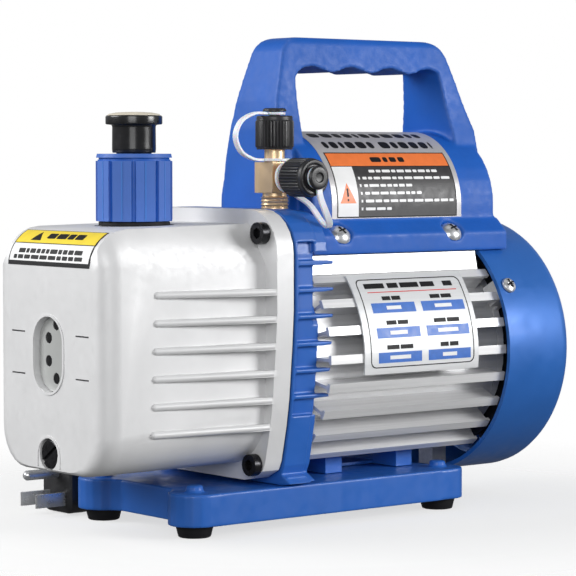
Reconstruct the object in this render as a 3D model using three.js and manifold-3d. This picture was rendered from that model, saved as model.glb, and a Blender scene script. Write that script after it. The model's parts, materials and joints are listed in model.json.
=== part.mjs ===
// A small rotary-vane vacuum pump: oil tank and pump module at -X, finned motor and fan cover at +X.
// Units are millimetres, +Z is up, the floor is z = 0 and y = 0 is the plane through the shaft.
import * as THREE from "three";
import { mergeVertices } from "three/addons/utils/BufferGeometryUtils.js";
import Module from "manifold-3d";

const wasm = await Module();
wasm.setup();

// ---------------------------------------------------------------- driving dimensions
const HALF_LENGTH = 132; // tank front face and fan grille
const SHAFT_Z = 75.7; // height of the shaft line
const GAP = 0.3; // clearance between pieces that touch
const THREAD_GAP = 0.3; // radial clearance round a screw

const FEET = { x: [-78.2, 67.2], y: 35.35, bottomR: 7.2, topR: 8.6, height: 5.4 };
const BASE = { halfWidth: 47, bottomZ: 5.4, topZ: 20, wall: 2.2, tabR: 12, studR: 4, studH: 3 };

const TANK = { frontX: -HALF_LENGTH, flangeX: -47, flangeBack: -37.7, wall: 4 };
const FLANGE_OUTLINE = { topZ: 145, topHalf: 35.3, cornerR: 20, bottomZ: 22.5, footHalf: 31 };
const GASKET = { x0: -37.4, x1: -36.6 };
const BRACKET = { x0: -36.3, x1: -24, bottomZ: 20.3, footHalf: 45 };

const HOUSING = { x0: -18, x1: 91, coreX1: 96.5, boreR: 39, coreR: 46.3, finR: 58 };
const FIN = { count: 8, topAngle: 40, pitch: 12.97, tipWidth: 4.2, tipDepth: 1.8, web: 1.6 };
const PLATFORM = { topZ: 123.4, topHalf: 41.5, sideHalf: 43.4, sideZ: 114.8, wall: 4 };

const COVER = { r: 62, wall: 2, x0: 89.7, x1: HALF_LENGTH, edgeR: 7, slots: 12 };
const HANDLE = { x0: -17, x1: 106.6, topX0: -10, topX1: 95, topZ: 224.5, rimX0: -15.4, rimX1: 106.8 };
const HUMP = { r: 35, axisZ: 145.5, x0: -10, x1: 104.5, wall: 3 };

const FILL = { x: -85.4, seatZ: 137.6, r: 17.1, topZ: 170, neckR: 10.7 };
const INTAKE = { x: -26, y: -27, sideZ: 159.3, capR: 8.8 };
const DRAIN = { z: 37.5, r: 6.6 };
const PUMP = { boreR: 22, rotorR: 18, offset: 3.6, x0: -92, x1: -56, bodyR: 31 };
const ROTOR_R = 22;
const SHAFT_R = 5;

// Segments round a circle, from the largest rounds to the screws.
const ROUND = { cover: 88, large: 40, medium: 24, small: 16, tiny: 10 };

const CORD_R = 3.5;
const GLAND = { x: 72, y0: 32, y1: 60, z: 147.5 };
const COIL = { x: 52, y: 124, outerR: 46, innerR: 25, height: 14 };
const PLUG = { x: -74, y: 64.5, z: 13, halfWidth: 12.5, halfHeight: 12.6, length: 22 };

// ---------------------------------------------------------------- materials
const material = (color, roughness, metalness = 0) =>
  new THREE.MeshStandardMaterial({ color, roughness, metalness });

const MATERIALS = {
  blue_paint: material(0x2b56b4, 0.38),
  blue_plastic: material(0x3158b8, 0.5),
  cast_alloy: material(0xd4d6d8, 0.42, 0.6),
  fin_alloy: material(0xd9dadc, 0.35, 0.9),
  steel: material(0xb9bcc0, 0.3, 0.9),
  core_steel: material(0x6f7378, 0.5, 0.8),
  copper: material(0xb4683a, 0.45, 0.8),
  brass: material(0xd0a663, 0.3, 0.9),
  black_plastic: material(0x17181a, 0.42),
  black_rubber: material(0x121213, 0.75),
  black_oxide: material(0x1d1e20, 0.35, 0.6),
  white_plastic: material(0xe9eaee, 0.45),
  gasket: material(0x5a4a3c, 0.85),
  lens: material(0xa9adad, 0.2),
};

// ---------------------------------------------------------------- geometry helpers
const radians = (degrees) => (degrees * Math.PI) / 180;
const polar = (r, degrees, cx = 0, cy = 0) => [
  cx + r * Math.cos(radians(degrees)),
  cy + r * Math.sin(radians(degrees)),
];

/** Points of an arc, from one angle to another, both ends included. */
function arc(cx, cy, r, from, to, steps) {
  return Array.from({ length: steps + 1 }, (_, i) => polar(r, from + ((to - from) * i) / steps, cx, cy));
}

/** Mirrors an outline's half (first coordinate positive) to the other side of the axis. */
const mirrored = (half) => [...half, ...half.map(([u, v]) => [-u, v]).reverse()];

/** A closed geometry as a manifold solid, with merged vertices and its faces pointing out. */
function solid(geometry) {
  const bare = geometry.index ? geometry.toNonIndexed() : geometry.clone();
  bare.deleteAttribute("normal");
  bare.deleteAttribute("uv");
  const merged = mergeVertices(bare, 1e-4);
  const index = merged.index.array;
  const kept = [];
  for (let i = 0; i < index.length; i += 3) {
    const [a, b, c] = [index[i], index[i + 1], index[i + 2]];
    if (a !== b && b !== c && a !== c) kept.push(a, b, c);
  }
  const p = merged.attributes.position.array;
  let volume = 0;
  for (let i = 0; i < kept.length; i += 3) {
    const [a, b, c] = [kept[i] * 3, kept[i + 1] * 3, kept[i + 2] * 3];
    volume += p[a] * (p[b + 1] * p[c + 2] - p[b + 2] * p[c + 1]);
    volume += p[a + 1] * (p[b + 2] * p[c] - p[b] * p[c + 2]);
    volume += p[a + 2] * (p[b] * p[c + 1] - p[b + 1] * p[c]);
  }
  if (volume < 0) kept.reverse();
  const options = { numProp: 3, vertProperties: new Float32Array(p), triVerts: new Uint32Array(kept) };
  return new wasm.Manifold(new wasm.Mesh(options));
}

const join = (...solids) => solids.reduce((sum, next) => sum.add(next));
const cut = (body, ...tools) => tools.reduce((rest, tool) => rest.subtract(tool), body);

/** Extrudes an outline of [u, v] points, with holes, into a solid that the matrix then places. */
function extrude(outline, depth, matrix, holes = []) {
  const shape = new THREE.Shape(outline.map(([u, v]) => new THREE.Vector2(u, v)));
  shape.holes = holes.map((hole) => new THREE.Path(hole.map(([u, v]) => new THREE.Vector2(u, v))));
  const geometry = new THREE.ExtrudeGeometry(shape, { depth, bevelEnabled: false, curveSegments: 12 });
  return solid(geometry.applyMatrix4(matrix));
}

const basis = (u, v, w, x, y, z) =>
  new THREE.Matrix4()
    .makeBasis(new THREE.Vector3(...u), new THREE.Vector3(...v), new THREE.Vector3(...w))
    .setPosition(x, y, z);

/** Extrudes a [y, z] outline along X, an [x, z] outline along Y, or an [x, y] outline along Z. */
const alongX = (outline, x0, x1, holes) =>
  extrude(outline, x1 - x0, basis([0, 1, 0], [0, 0, 1], [1, 0, 0], x0, 0, 0), holes);
const alongY = (outline, y0, y1, holes) =>
  extrude(outline, y1 - y0, basis([1, 0, 0], [0, 0, 1], [0, -1, 0], 0, y1, 0), holes);
const alongZ = (outline, z0, z1, holes) =>
  extrude(outline, z1 - z0, basis([1, 0, 0], [0, 1, 0], [0, 0, 1], 0, 0, z0), holes);

/** Revolves [radius, position] points about an axis through a point. */
function revolve(profile, direction, point = [0, 0, 0], segments = ROUND.medium) {
  const points = profile.map(([r, t]) => new THREE.Vector2(r, t));
  const geometry = new THREE.LatheGeometry([...points, points[0]], segments);
  const turn = new THREE.Quaternion().setFromUnitVectors(
    new THREE.Vector3(0, 1, 0),
    new THREE.Vector3(...direction).normalize(),
  );
  return solid(geometry.applyQuaternion(turn).translate(...point));
}

/** A cylinder from t0 to t1 along a direction, or a tube when innerR is given. */
function cylinder(r, t0, t1, direction, point, segments = ROUND.medium, innerR = 0) {
  const profile = [[innerR, t0], [r, t0], [r, t1], [innerR, t1]];
  return revolve(profile, direction, point, segments);
}

const box = (x0, x1, y0, y1, z0, z1) =>
  solid(new THREE.BoxGeometry(x1 - x0, y1 - y0, z1 - z0).translate((x0 + x1) / 2, (y0 + y1) / 2, (z0 + z1) / 2));

/** Joins sections of equal point count into one closed loft; each is a list of [x, y, z]. */
function loft(sections) {
  const size = sections[0].length;
  const positions = sections.flat(2);
  const index = [];
  for (let s = 0; s + 1 < sections.length; s++) {
    for (let i = 0; i < size; i++) {
      const [a, b] = [s * size + i, s * size + ((i + 1) % size)];
      index.push(a, b, b + size, a, b + size, a + size);
    }
  }
  for (const [start, flip] of [[0, true], [(sections.length - 1) * size, false]]) {
    for (let i = 1; i + 1 < size; i++) {
      const triangle = [start, start + i, start + i + 1];
      index.push(...(flip ? triangle.reverse() : triangle));
    }
  }
  const geometry = new THREE.BufferGeometry();
  geometry.setAttribute("position", new THREE.Float32BufferAttribute(positions, 3));
  geometry.setIndex(index);
  return solid(geometry);
}

const X = [1, 0, 0];
const Y = [0, 1, 0];
const Z = [0, 0, 1];
const SHAFT_POINT = [0, 0, SHAFT_Z];

const pump = new THREE.Group();

/** Adds a solid to the pump as a mesh of its own. */
function add(name, body, look) {
  const { numProp, vertProperties, triVerts } = body.getMesh();
  const positions = new Float32Array((vertProperties.length / numProp) * 3);
  for (let i = 0; i < positions.length / 3; i++) {
    for (let k = 0; k < 3; k++) positions[i * 3 + k] = vertProperties[i * numProp + k];
  }
  const geometry = new THREE.BufferGeometry();
  geometry.setAttribute("position", new THREE.BufferAttribute(positions, 3));
  geometry.setIndex(new THREE.BufferAttribute(new Uint32Array(triVerts), 1));
  geometry.computeVertexNormals();
  const mesh = new THREE.Mesh(geometry, MATERIALS[look]);
  mesh.name = name;
  pump.add(mesh);
}

// ---------------------------------------------------------------- base tray and feet

/** Outline of the base: a rectangle whose four corners grow round tabs over the feet. */
function baseOutline(inset) {
  const [x0, x1] = FEET.x;
  const side = BASE.halfWidth - inset;
  const r = BASE.tabR - inset;
  const waist = 4 + inset;
  const left = [
    ...arc(x0, FEET.y, r, 90, 250, 8),
    [x0 - 1 + inset, FEET.y - r - waist],
  ];
  const right = [
    [x1 + 1 - inset, FEET.y - r - waist],
    ...arc(x1, FEET.y, r, -70, 90, 8),
  ];
  const upper = [[x1 - r, side], [x0 + r, side], ...left];
  const lower = [...upper].reverse().map(([x, y]) => [x, -y]);
  const rightLower = [...right].reverse().map(([x, y]) => [x, -y]);
  return [...right.slice(0, -1), ...upper, ...lower, ...rightLower.slice(1)];
}

const FOOT_PLACES = [
  ["front_left", FEET.x[0], FEET.y],
  ["front_right", FEET.x[0], -FEET.y],
  ["rear_left", FEET.x[1], FEET.y],
  ["rear_right", FEET.x[1], -FEET.y],
];
const BOLT_R = 2;

function basePlate() {
  const outer = alongZ(baseOutline(0), BASE.bottomZ, BASE.topZ);
  const hollow = alongZ(baseOutline(BASE.wall), BASE.bottomZ - 1, BASE.topZ - BASE.wall);
  const studs = FOOT_PLACES.map(([, x, y]) =>
    join(
      cylinder(BASE.studR, BASE.topZ - 1, BASE.topZ + BASE.studH, Z, [x, y, 0], ROUND.tiny),
      cylinder(BOLT_R, FEET.height, BASE.topZ, Z, [x, y, 0], ROUND.tiny),
    ),
  );
  return join(cut(outer, hollow), ...studs);
}
add("base_plate", basePlate(), "blue_paint");

for (const [name, x, y] of FOOT_PLACES) {
  const top = BASE.topZ - BASE.wall - GAP;
  const bore = BOLT_R + THREAD_GAP;
  const profile = [
    [0, 0], [FEET.bottomR, 0], [FEET.topR, FEET.height], [FEET.topR, top],
    [bore, top], [bore, FEET.height - 1], [0, FEET.height - 1],
  ];
  add(`foot_${name}`, revolve(profile, Z, [x, y, 0], ROUND.small), "black_rubber");
}

// ---------------------------------------------------------------- oil tank

/** Outline of the tank flange and the end bracket, as [y, z] points. */
function flangeOutline(inset, footHalf = FLANGE_OUTLINE.footHalf, bottomZ = FLANGE_OUTLINE.bottomZ) {
  const { topZ, topHalf, cornerR } = FLANGE_OUTLINE;
  const half = [
    ...arc(topHalf, topZ - cornerR, cornerR - inset, 90, 0, 6),
    [55.3 - inset, 100], [54.3 - inset, 84], [52.1 - inset, 60], [50.2 - inset, 48],
    [46.5 - inset, bottomZ + 9], [44.5 - inset, bottomZ + 5], [footHalf + 6 - inset, bottomZ + 1 + inset],
    [footHalf, bottomZ + inset],
  ];
  return mirrored(half);
}

/** One cross-section of the tank's body at t millimetres behind its front face. */
function tankSection(t, inset) {
  const span = TANK.flangeX - TANK.frontX;
  const ease = (depth) => Math.sqrt(1 - Math.max(0, 1 - t / depth) ** 2);
  const along = t / span;
  const half = 34.2 + 8.8 * ease(9.5) + 3.8 * along - inset;
  const topZ = 120 + 17 * ease(18) + 1.6 * along - inset;
  const bottomZ = 30.9 - 1.5 * ease(5) + inset;
  const cornerR = 18 + 8 * along - inset;
  const shoulderZ = Math.min(topZ - 1.2, 120.5);
  const shoulderHalf = Math.min(half - 1.2, 34.5 - inset);
  const y = half - cornerR;
  return mirrored([
    [shoulderHalf, topZ],
    [half, shoulderZ],
    ...arc(y, bottomZ + cornerR, cornerR, 0, -90, 6),
  ]).map(([u, v]) => [TANK.frontX + t, u, v]);
}

/** A tapered rib on the tank's side, growing from the wall to the flange's edge. */
function tankRib(side, z, tip) {
  const outline = [[-113, 42.6], [-47 - 1, tip], [-47 + 1, tip], [-47 + 1, 40], [-113, 40]];
  return alongZ(outline.map(([x, y]) => [x, side * y]), z - 1.5, z + 1.5);
}

const RIB_TIPS = [55.0, 54.9, 54.3, 53.5, 52.1, 50.2];
const RIB_TOP_Z = 108.6;
const RIB_PITCH = 12.15;
const TANK_SCREWS = [[-46, 134.6], [46, 134.6], [-40, 30.2], [40, 30.2]];
const SCREW_R = 2.5;
const SIGHT = { z: 81.6, halfWidth: 11.6, halfHeight: 17, depth: 4.2 };

/** An upright slot shape with round ends, as [y, z] points. */
function slotOutline(halfWidth, halfHeight, z) {
  const reach = halfHeight - halfWidth;
  return [
    ...arc(0, z + reach, halfWidth, 0, 180, 7),
    ...arc(0, z - reach, halfWidth, 180, 360, 7),
  ];
}

function oilTank() {
  const stations = [0, 1, 3, 6, 9.5, 13, 18, 50, TANK.flangeX - TANK.frontX + 1];
  const body = loft(stations.map((t) => tankSection(t, 0)));
  const flange = alongX(flangeOutline(0), TANK.flangeX, TANK.flangeBack);
  const ribs = RIB_TIPS.flatMap((tip, i) =>
    [-1, 1].map((side) => tankRib(side, RIB_TOP_Z - i * RIB_PITCH, tip)),
  );
  const inside = [5, 8, 14, 20, 50, TANK.flangeBack - TANK.frontX + 2];
  const cavity = loft(inside.map((t) => tankSection(t, TANK.wall)));
  const drainBoss = alongX(slotOutline(9, 12, 36.5), TANK.frontX + 0.5, TANK.frontX + 8);
  const holes = TANK_SCREWS.map(([y, z]) =>
    cylinder(SCREW_R + THREAD_GAP, TANK.flangeX - 2, TANK.flangeBack + 2, X, [0, y, z], ROUND.tiny),
  );
  const bosses = cut(drainBoss, box(-140, -110, -20, 20, 0, 30.5));
  return cut(
    join(body, flange, bosses, ...ribs),
    cavity,
    ...holes,
    cylinder(FILL.neckR + THREAD_GAP, 120, 145, Z, [FILL.x, 0, 0], ROUND.small),
    cylinder(FILL.r + 1, FILL.seatZ - GAP, 145, Z, [FILL.x, 0, 0]),
    alongX(
      slotOutline(SIGHT.halfWidth, SIGHT.halfHeight, SIGHT.z),
      TANK.frontX - 1, TANK.frontX + SIGHT.depth,
    ),
    alongX(
      slotOutline(SIGHT.halfWidth - 2, SIGHT.halfHeight - 2, SIGHT.z),
      TANK.frontX + 1, TANK.frontX + 12,
    ),
    cylinder(DRAIN.r + 0.6, TANK.frontX - 1, TANK.frontX + 3.5, X, [0, 0, DRAIN.z], ROUND.small),
    cylinder(4.4, TANK.frontX - 1, TANK.frontX + 12, X, [0, 0, DRAIN.z], ROUND.tiny),
  );
}
add("oil_tank", oilTank(), "cast_alloy");

const gasketHole = [...arc(0, SHAFT_Z + 4, 36, 0, 345, 23)];
const screwHole = ([y, z]) => arc(y, z, SCREW_R + THREAD_GAP, 0, 315, 7);
add(
  "tank_gasket",
  alongX(flangeOutline(1), GASKET.x0, GASKET.x1, [gasketHole, ...TANK_SCREWS.map(screwHole)]),
  "gasket",
);

TANK_SCREWS.forEach(([y, z], i) => {
  const headX = TANK.flangeX - GAP;
  const head = cylinder(5, headX - 4.2, headX, X, [0, y, z], ROUND.small);
  const shank = cylinder(SCREW_R, headX - 1, BRACKET.x0 + 9, X, [0, y, z], ROUND.tiny);
  const socket = cylinder(2.6, headX - 6, headX - 1.6, X, [0, y, z], 6);
  add(`tank_screw_${i + 1}`, cut(join(head, shank), socket), "black_oxide");
});

/** The level window: a plate with four openings to the oil, seated in the front wall. */
function sightGlass() {
  const plate = alongX(
    slotOutline(SIGHT.halfWidth - GAP, SIGHT.halfHeight - GAP, SIGHT.z),
    TANK.frontX + SIGHT.depth - 1.3,
    TANK.frontX + SIGHT.depth - GAP,
  );
  const plug = alongX(
    slotOutline(SIGHT.halfWidth - 2 - GAP, SIGHT.halfHeight - 2 - GAP, SIGHT.z),
    TANK.frontX + SIGHT.depth - 1,
    TANK.frontX + 7,
  );
  const ports = [[2, 13.2], [-4, 7.1], [-4, -3.1], [2, -10.6]].map(([y, dz]) =>
    cylinder(2.6, TANK.frontX, TANK.frontX + 5.5, X, [0, -y, SIGHT.z + dz], ROUND.tiny),
  );
  return cut(join(plate, plug), ...ports);
}
add("sight_glass", sightGlass(), "lens");

// ---------------------------------------------------------------- end bracket between tank and motor

const WEB = { heights: [121, 108.9, 96.9, 84.4, 72.3, 60.6], halfThick: 1, tipX: -14.6, depth: 5 };
const RECESS = { x0: -34.7, depth: 3, topZ: 130.5, bottomZ: 52 };

/** Places a solid made on the +Y horizontal at an angle about the shaft line. */
function aroundShaft(body, degrees) {
  return body.translate([0, 0, -SHAFT_Z]).rotate([degrees, 0, 0]).translate([0, 0, SHAFT_Z]);
}

/** A level web of the bracket: it crosses the side recess and ends in a blunt finger between two fins. */
function bracketWeb(z) {
  const { halfThick, tipX, depth } = WEB;
  const outline = flangeOutline(0.3, BRACKET.footHalf, BRACKET.bottomZ);
  const rib = alongX(outline, RECESS.x0 - 0.5, BRACKET.x1 - 0.5)
    .intersect(box(RECESS.x0 - 1, BRACKET.x1, -60, 60, z - halfThick, z + halfThick));
  const slab = alongX(outline, 0, 1).intersect(box(0, 1, 0, 60, z - 0.1, z + 0.1));
  const edge = slab.boundingBox().max[1];
  const finger = [
    [BRACKET.x1 - 2, halfThick], [BRACKET.x1 + 3, halfThick], [tipX + 1, 0.75], [tipX, 0.3],
    [tipX, -0.3], [tipX + 1, -0.75], [BRACKET.x1 + 3, -halfThick], [BRACKET.x1 - 2, -halfThick],
  ].map(([x, w]) => [x, z + w]);
  const fingers = [-1, 1].map((side) => {
    const [y0, y1] = [side * (edge - depth), side * edge].sort((a, b) => a - b);
    return alongY(finger, y0, y1);
  });
  return join(rib, ...fingers);
}

function endBracket() {
  const outline = flangeOutline(0, BRACKET.footHalf, BRACKET.bottomZ);
  const recessed = flangeOutline(RECESS.depth, BRACKET.footHalf, BRACKET.bottomZ);
  const plate = alongX(outline, BRACKET.x0, RECESS.x0);
  const middle = alongX(recessed, RECESS.x0 - 0.5, BRACKET.x1);
  const ends = alongX(outline, RECESS.x0 - 0.5, BRACKET.x1)
    .subtract(box(BRACKET.x0, BRACKET.x1 + 1, -60, 60, RECESS.bottomZ, RECESS.topZ));
  const topBlock = alongX(
    flangeOutline(0.6, BRACKET.footHalf, BRACKET.bottomZ), BRACKET.x1 - 1, INTAKE.x + 8.5,
  ).intersect(box(BRACKET.x1 - 1, INTAKE.x + 8.5, -60, 60, 126, 146));
  const lug = alongX(
    flangeOutline(0.6, BRACKET.footHalf, BRACKET.bottomZ), BRACKET.x1 - 1, BRACKET.x1 + 3.4,
  ).intersect(box(BRACKET.x1 - 1, HOUSING.x0, -60, 60, BRACKET.bottomZ, RECESS.bottomZ));
  const register = cylinder(54.5, BRACKET.x1 - 1, BRACKET.x1 + 3.6, X, SHAFT_POINT, ROUND.large, 33)
    .intersect(alongX(recessed, BRACKET.x1 - 2, HOUSING.x0));
  const spigot = cylinder(HOUSING.boreR + 5, BRACKET.x1 - 1, HOUSING.x0 - GAP, X, SHAFT_POINT, ROUND.large, 33);
  return cut(
    join(plate, middle, ends, topBlock, lug, register, spigot, ...WEB.heights.map(bracketWeb)),
    cylinder(13.3, BRACKET.x0 + 3, BRACKET.x1 + 8, X, SHAFT_POINT, ROUND.medium),
    cylinder(9.3, BRACKET.x0 - 1, BRACKET.x1, X, SHAFT_POINT, ROUND.small),
    ...TANK_SCREWS.map(([y, z]) =>
      cylinder(SCREW_R + THREAD_GAP, BRACKET.x0 - 1, BRACKET.x0 + 10, X, [0, y, z], ROUND.tiny),
    ),
    cylinder(6.5 + THREAD_GAP, 131, 150, Z, [INTAKE.x, INTAKE.y, 0], ROUND.small),
    box(BRACKET.x0 - 1, BRACKET.x1 + 1, -2, 2, SHAFT_Z + 28, SHAFT_Z + 36),
  );
}
add("end_bracket", endBracket(), "blue_paint");

// ---------------------------------------------------------------- motor

/** A T-shaped cooling fin on the +Y horizontal. */
function finOutline(degrees) {
  const { coreR, finR } = HOUSING;
  const half = FIN.tipWidth / 2;
  const points = [
    [coreR - 1.5, FIN.web / 2], [finR - FIN.tipDepth, FIN.web / 2], [finR - FIN.tipDepth, half], [finR, half],
    [finR, -half], [finR - FIN.tipDepth, -half], [finR - FIN.tipDepth, -FIN.web / 2], [coreR - 1.5, -FIN.web / 2],
  ];
  const [c, s] = polar(1, degrees);
  return points.map(([r, w]) => [r * c - w * s, SHAFT_Z + r * s + w * c]);
}

const HANDLE_SCREWS = [[3.1, 1], [3.1, -1], [72.7, 1], [72.7, -1]];
const SCREW_SEAT = { y: 38, z: 132 };
const SCREW_TILT = [0.65, 0.76];

/** A tool or screw body along the slanted axis of a handle screw. */
function onHandleScrew([x, side], r, from, to, segments) {
  const direction = [0, side * SCREW_TILT[0], SCREW_TILT[1]];
  return cylinder(r, from, to, direction, [x, side * SCREW_SEAT.y, SCREW_SEAT.z], segments);
}

function motorHousing() {
  const { x0, x1, coreX1, coreR, boreR } = HOUSING;
  const core = cylinder(coreR, x0, coreX1, X, SHAFT_POINT, ROUND.large, boreR);
  const angles = Array.from({ length: FIN.count }, (_, i) => FIN.topAngle - i * FIN.pitch);
  const fins = angles.flatMap((angle) => [angle, 180 - angle]).map((angle) => alongX(finOutline(angle), x0, x1));
  const platformTop = alongX(
    mirrored([
      [PLATFORM.topHalf, PLATFORM.topZ], [PLATFORM.sideHalf, PLATFORM.sideZ],
      [PLATFORM.sideHalf - 4, PLATFORM.sideZ - 1], [PLATFORM.topHalf - 3, PLATFORM.topZ - PLATFORM.wall],
    ]),
    x0,
    coreX1 - 11,
  );
  const posts = [-1, 1].map((side) =>
    alongX([[side * 20, 110], [side * 24, 110], [side * 24, PLATFORM.topZ - 1], [side * 20, PLATFORM.topZ - 1]],
      x0, coreX1 - 11),
  );
  const bore = cylinder(boreR, x0 - 1, coreX1 + 1, X, SHAFT_POINT, ROUND.large);
  return cut(
    join(core, ...fins, platformTop, ...posts),
    bore,
    ...HANDLE_SCREWS.map((place) => onHandleScrew(place, SCREW_R + THREAD_GAP, -15, 0, ROUND.tiny)),
  );
}
add("motor_housing", motorHousing(), "fin_alloy");

/** A rubber mount: two saddles under the housing, joined by a strip along the base. */
function housingMount() {
  const floorZ = BASE.topZ + GAP;
  const saddles = [[6, 16], [50, 60]].map(([x0, x1]) => box(x0, x1, -25, 25, floorZ, 36));
  return cut(
    join(box(6, 60, -8, 8, floorZ, floorZ + 1.5), ...saddles),
    cylinder(HOUSING.coreR + GAP, 0, 70, X, SHAFT_POINT, ROUND.large),
  );
}
add("housing_mount", housingMount(), "blue_paint");

const STATOR = { x0: 8, x1: 68, slots: 8, slotIn: 24, slotOut: 33, slotHalf: 2.6 };

/** One bar of a stator slot's shape, as a solid on the +Y horizontal turned to its place. */
function slotBar(i, grow, x0, x1, inner) {
  const half = STATOR.slotHalf + grow;
  const bar = box(x0, x1, inner - grow, STATOR.slotOut + grow, SHAFT_Z - half, SHAFT_Z + half);
  return aroundShaft(bar, (i * 360) / STATOR.slots);
}

const slotNumbers = Array.from({ length: STATOR.slots }, (_, i) => i);
const statorBody = cylinder(HOUSING.boreR - GAP, STATOR.x0, STATOR.x1, X, SHAFT_POINT, ROUND.large, ROTOR_R + 0.5);
add(
  "stator_core",
  cut(statorBody, ...slotNumbers.map((i) => slotBar(i, GAP, STATOR.x0 - 1, STATOR.x1 + 1, STATOR.slotIn))),
  "core_steel",
);

const windingRing = (x0, x1) => cylinder(34.5, x0, x1, X, SHAFT_POINT, ROUND.medium, STATOR.slotIn + 1.5);
add(
  "stator_winding",
  join(
    windingRing(STATOR.x0 - 12, STATOR.x0 - 1),
    windingRing(STATOR.x1 + 1, STATOR.x1 + 12),
    ...slotNumbers.map((i) => slotBar(i, 0, STATOR.x0 - 2, STATOR.x1 + 2, STATOR.slotIn + 1.5)),
  ),
  "copper",
);

const SHIELD = { x0: 96.8, x1: 100.6, hubX0: 88, bearingX0: 91, bearingX1: 98 };
const COVER_SCREW_ANGLES = [30, 150, 270];

function rearEndShield() {
  const disc = cylinder(HOUSING.coreR, SHIELD.x0, SHIELD.x1, X, SHAFT_POINT, ROUND.large);
  const spigot = cylinder(
    HOUSING.boreR - GAP, SHIELD.x0 - 4, SHIELD.x0 + 1, X, SHAFT_POINT, ROUND.medium, HOUSING.boreR - 3,
  );
  const hub = cylinder(16, SHIELD.hubX0, SHIELD.x0 + 1, X, SHAFT_POINT, ROUND.small);
  const lugs = COVER_SCREW_ANGLES.map((angle) =>
    aroundShaft(join(
      box(SHIELD.x0, SHIELD.x1, 42, 59.6, SHAFT_Z - 5, SHAFT_Z + 5),
      box(HOUSING.x1 + 0.5, SHIELD.x1, 50, 59.6, SHAFT_Z - 5, SHAFT_Z + 5),
    ), angle),
  );
  const threads = COVER_SCREW_ANGLES.map((angle) =>
    aroundShaft(cylinder(1.8, 51, 64, Y, [96.2, 0, SHAFT_Z], ROUND.tiny), angle),
  );
  return cut(
    join(disc, spigot, hub, ...lugs),
    ...threads,
    cylinder(11.3, SHIELD.hubX0 - 1, SHIELD.bearingX1, X, SHAFT_POINT, ROUND.small),
    cylinder(SHAFT_R + 1, SHIELD.hubX0, SHIELD.x1 + 1, X, SHAFT_POINT, ROUND.small),
  );
}
add("rear_end_shield", rearEndShield(), "cast_alloy");

const bearing = (outerR, x0, x1) =>
  revolve(
    [[SHAFT_R + GAP, x0], [7.6, x0], [7.6, x0 + 0.8], [outerR - 2.2, x0 + 0.8], [outerR - 2.2, x0],
      [outerR, x0], [outerR, x1], [SHAFT_R + GAP, x1]],
    X, SHAFT_POINT, ROUND.small,
  );
add("front_bearing", bearing(13, BRACKET.x0 + 3.3, BRACKET.x1 - 1), "steel");
add("rear_bearing", bearing(11, SHIELD.bearingX0, SHIELD.bearingX1 - GAP), "steel");
add(
  "shaft_seal",
  revolve([[SHAFT_R + GAP, -39], [9, -39], [9, BRACKET.x0 + 2.8], [SHAFT_R + GAP, BRACKET.x0 + 2.8]],
    X, SHAFT_POINT, ROUND.small),
  "black_rubber",
);

// Rotating group: one shaft carries the motor rotor, the fan and the pump rotor.
const motorShaft = join(
  cylinder(SHAFT_R, PUMP.x1 + 3, 117, X, SHAFT_POINT, ROUND.small),
  box(PUMP.x1 - 4, PUMP.x1 + 3.5, -3.5, 3.5, SHAFT_Z - 1.5, SHAFT_Z + 1.5),
);
add("motor_shaft", motorShaft, "steel");
add(
  "rotor_core",
  cylinder(ROTOR_R, STATOR.x0, STATOR.x1, X, SHAFT_POINT, ROUND.medium, SHAFT_R + GAP),
  "core_steel",
);

function coolingFan() {
  const hub = cylinder(12, 104, 116, X, SHAFT_POINT, ROUND.small, SHAFT_R + GAP);
  const disc = cylinder(50, 104, 106, X, SHAFT_POINT, ROUND.medium, 11);
  const blade = box(105, 119, 11, 54, SHAFT_Z - 1, SHAFT_Z + 1);
  const blades = Array.from({ length: 6 }, (_, i) => aroundShaft(blade, i * 60));
  return join(hub, disc, ...blades).subtract(cylinder(SHAFT_R + GAP, 103, 120, X, SHAFT_POINT, ROUND.small));
}
add("cooling_fan", coolingFan(), "black_plastic");

function fanCover() {
  const { r, wall, x0, x1, edgeR, slots } = COVER;
  const outerEdge = arc(x1 - edgeR, r - edgeR, edgeR, 90, 0, 5).map(([x, radius]) => [radius, x]);
  const innerR = edgeR - wall;
  const innerEdge = arc(x1 - edgeR, r - edgeR, innerR, 0, 90, 2).map(([x, radius]) => [radius, x]);
  const shell = revolve([[r, x0], ...outerEdge, [0, x1], [0, x1 - wall], ...innerEdge, [r - wall, x0]],
    X, SHAFT_POINT, ROUND.cover);
  const grille = Array.from({ length: slots }, (_, i) =>
    aroundShaft(box(x1 - 4, x1 + 1, 18, 50, SHAFT_Z - 1.7, SHAFT_Z + 1.7), (i * 360) / slots),
  );
  const holes = COVER_SCREW_ANGLES.map((angle) =>
    aroundShaft(cylinder(1.8, 55, 66, Y, [96.2, 0, SHAFT_Z], ROUND.tiny), angle),
  );
  return cut(shell, ...grille, ...holes);
}
add("fan_cover", fanCover(), "blue_paint");

COVER_SCREW_ANGLES.forEach((angle, i) => {
  const point = [96.2, 0, SHAFT_Z];
  const head = revolve([[0, 62.3], [4, 62.3], [3.6, 63.3], [2, 64.2], [0, 64.4]], Y, point, ROUND.small);
  const shank = cylinder(1.5, 52, 63, Y, point, ROUND.tiny);
  const cross = join(box(95.8, 96.6, 63.4, 66, SHAFT_Z - 1.6, SHAFT_Z + 1.6),
    box(94.6, 97.8, 63.4, 66, SHAFT_Z - 0.4, SHAFT_Z + 0.4));
  add(`fan_cover_screw_${i + 1}`, aroundShaft(cut(join(head, shank), cross), angle), "steel");
});

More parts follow.
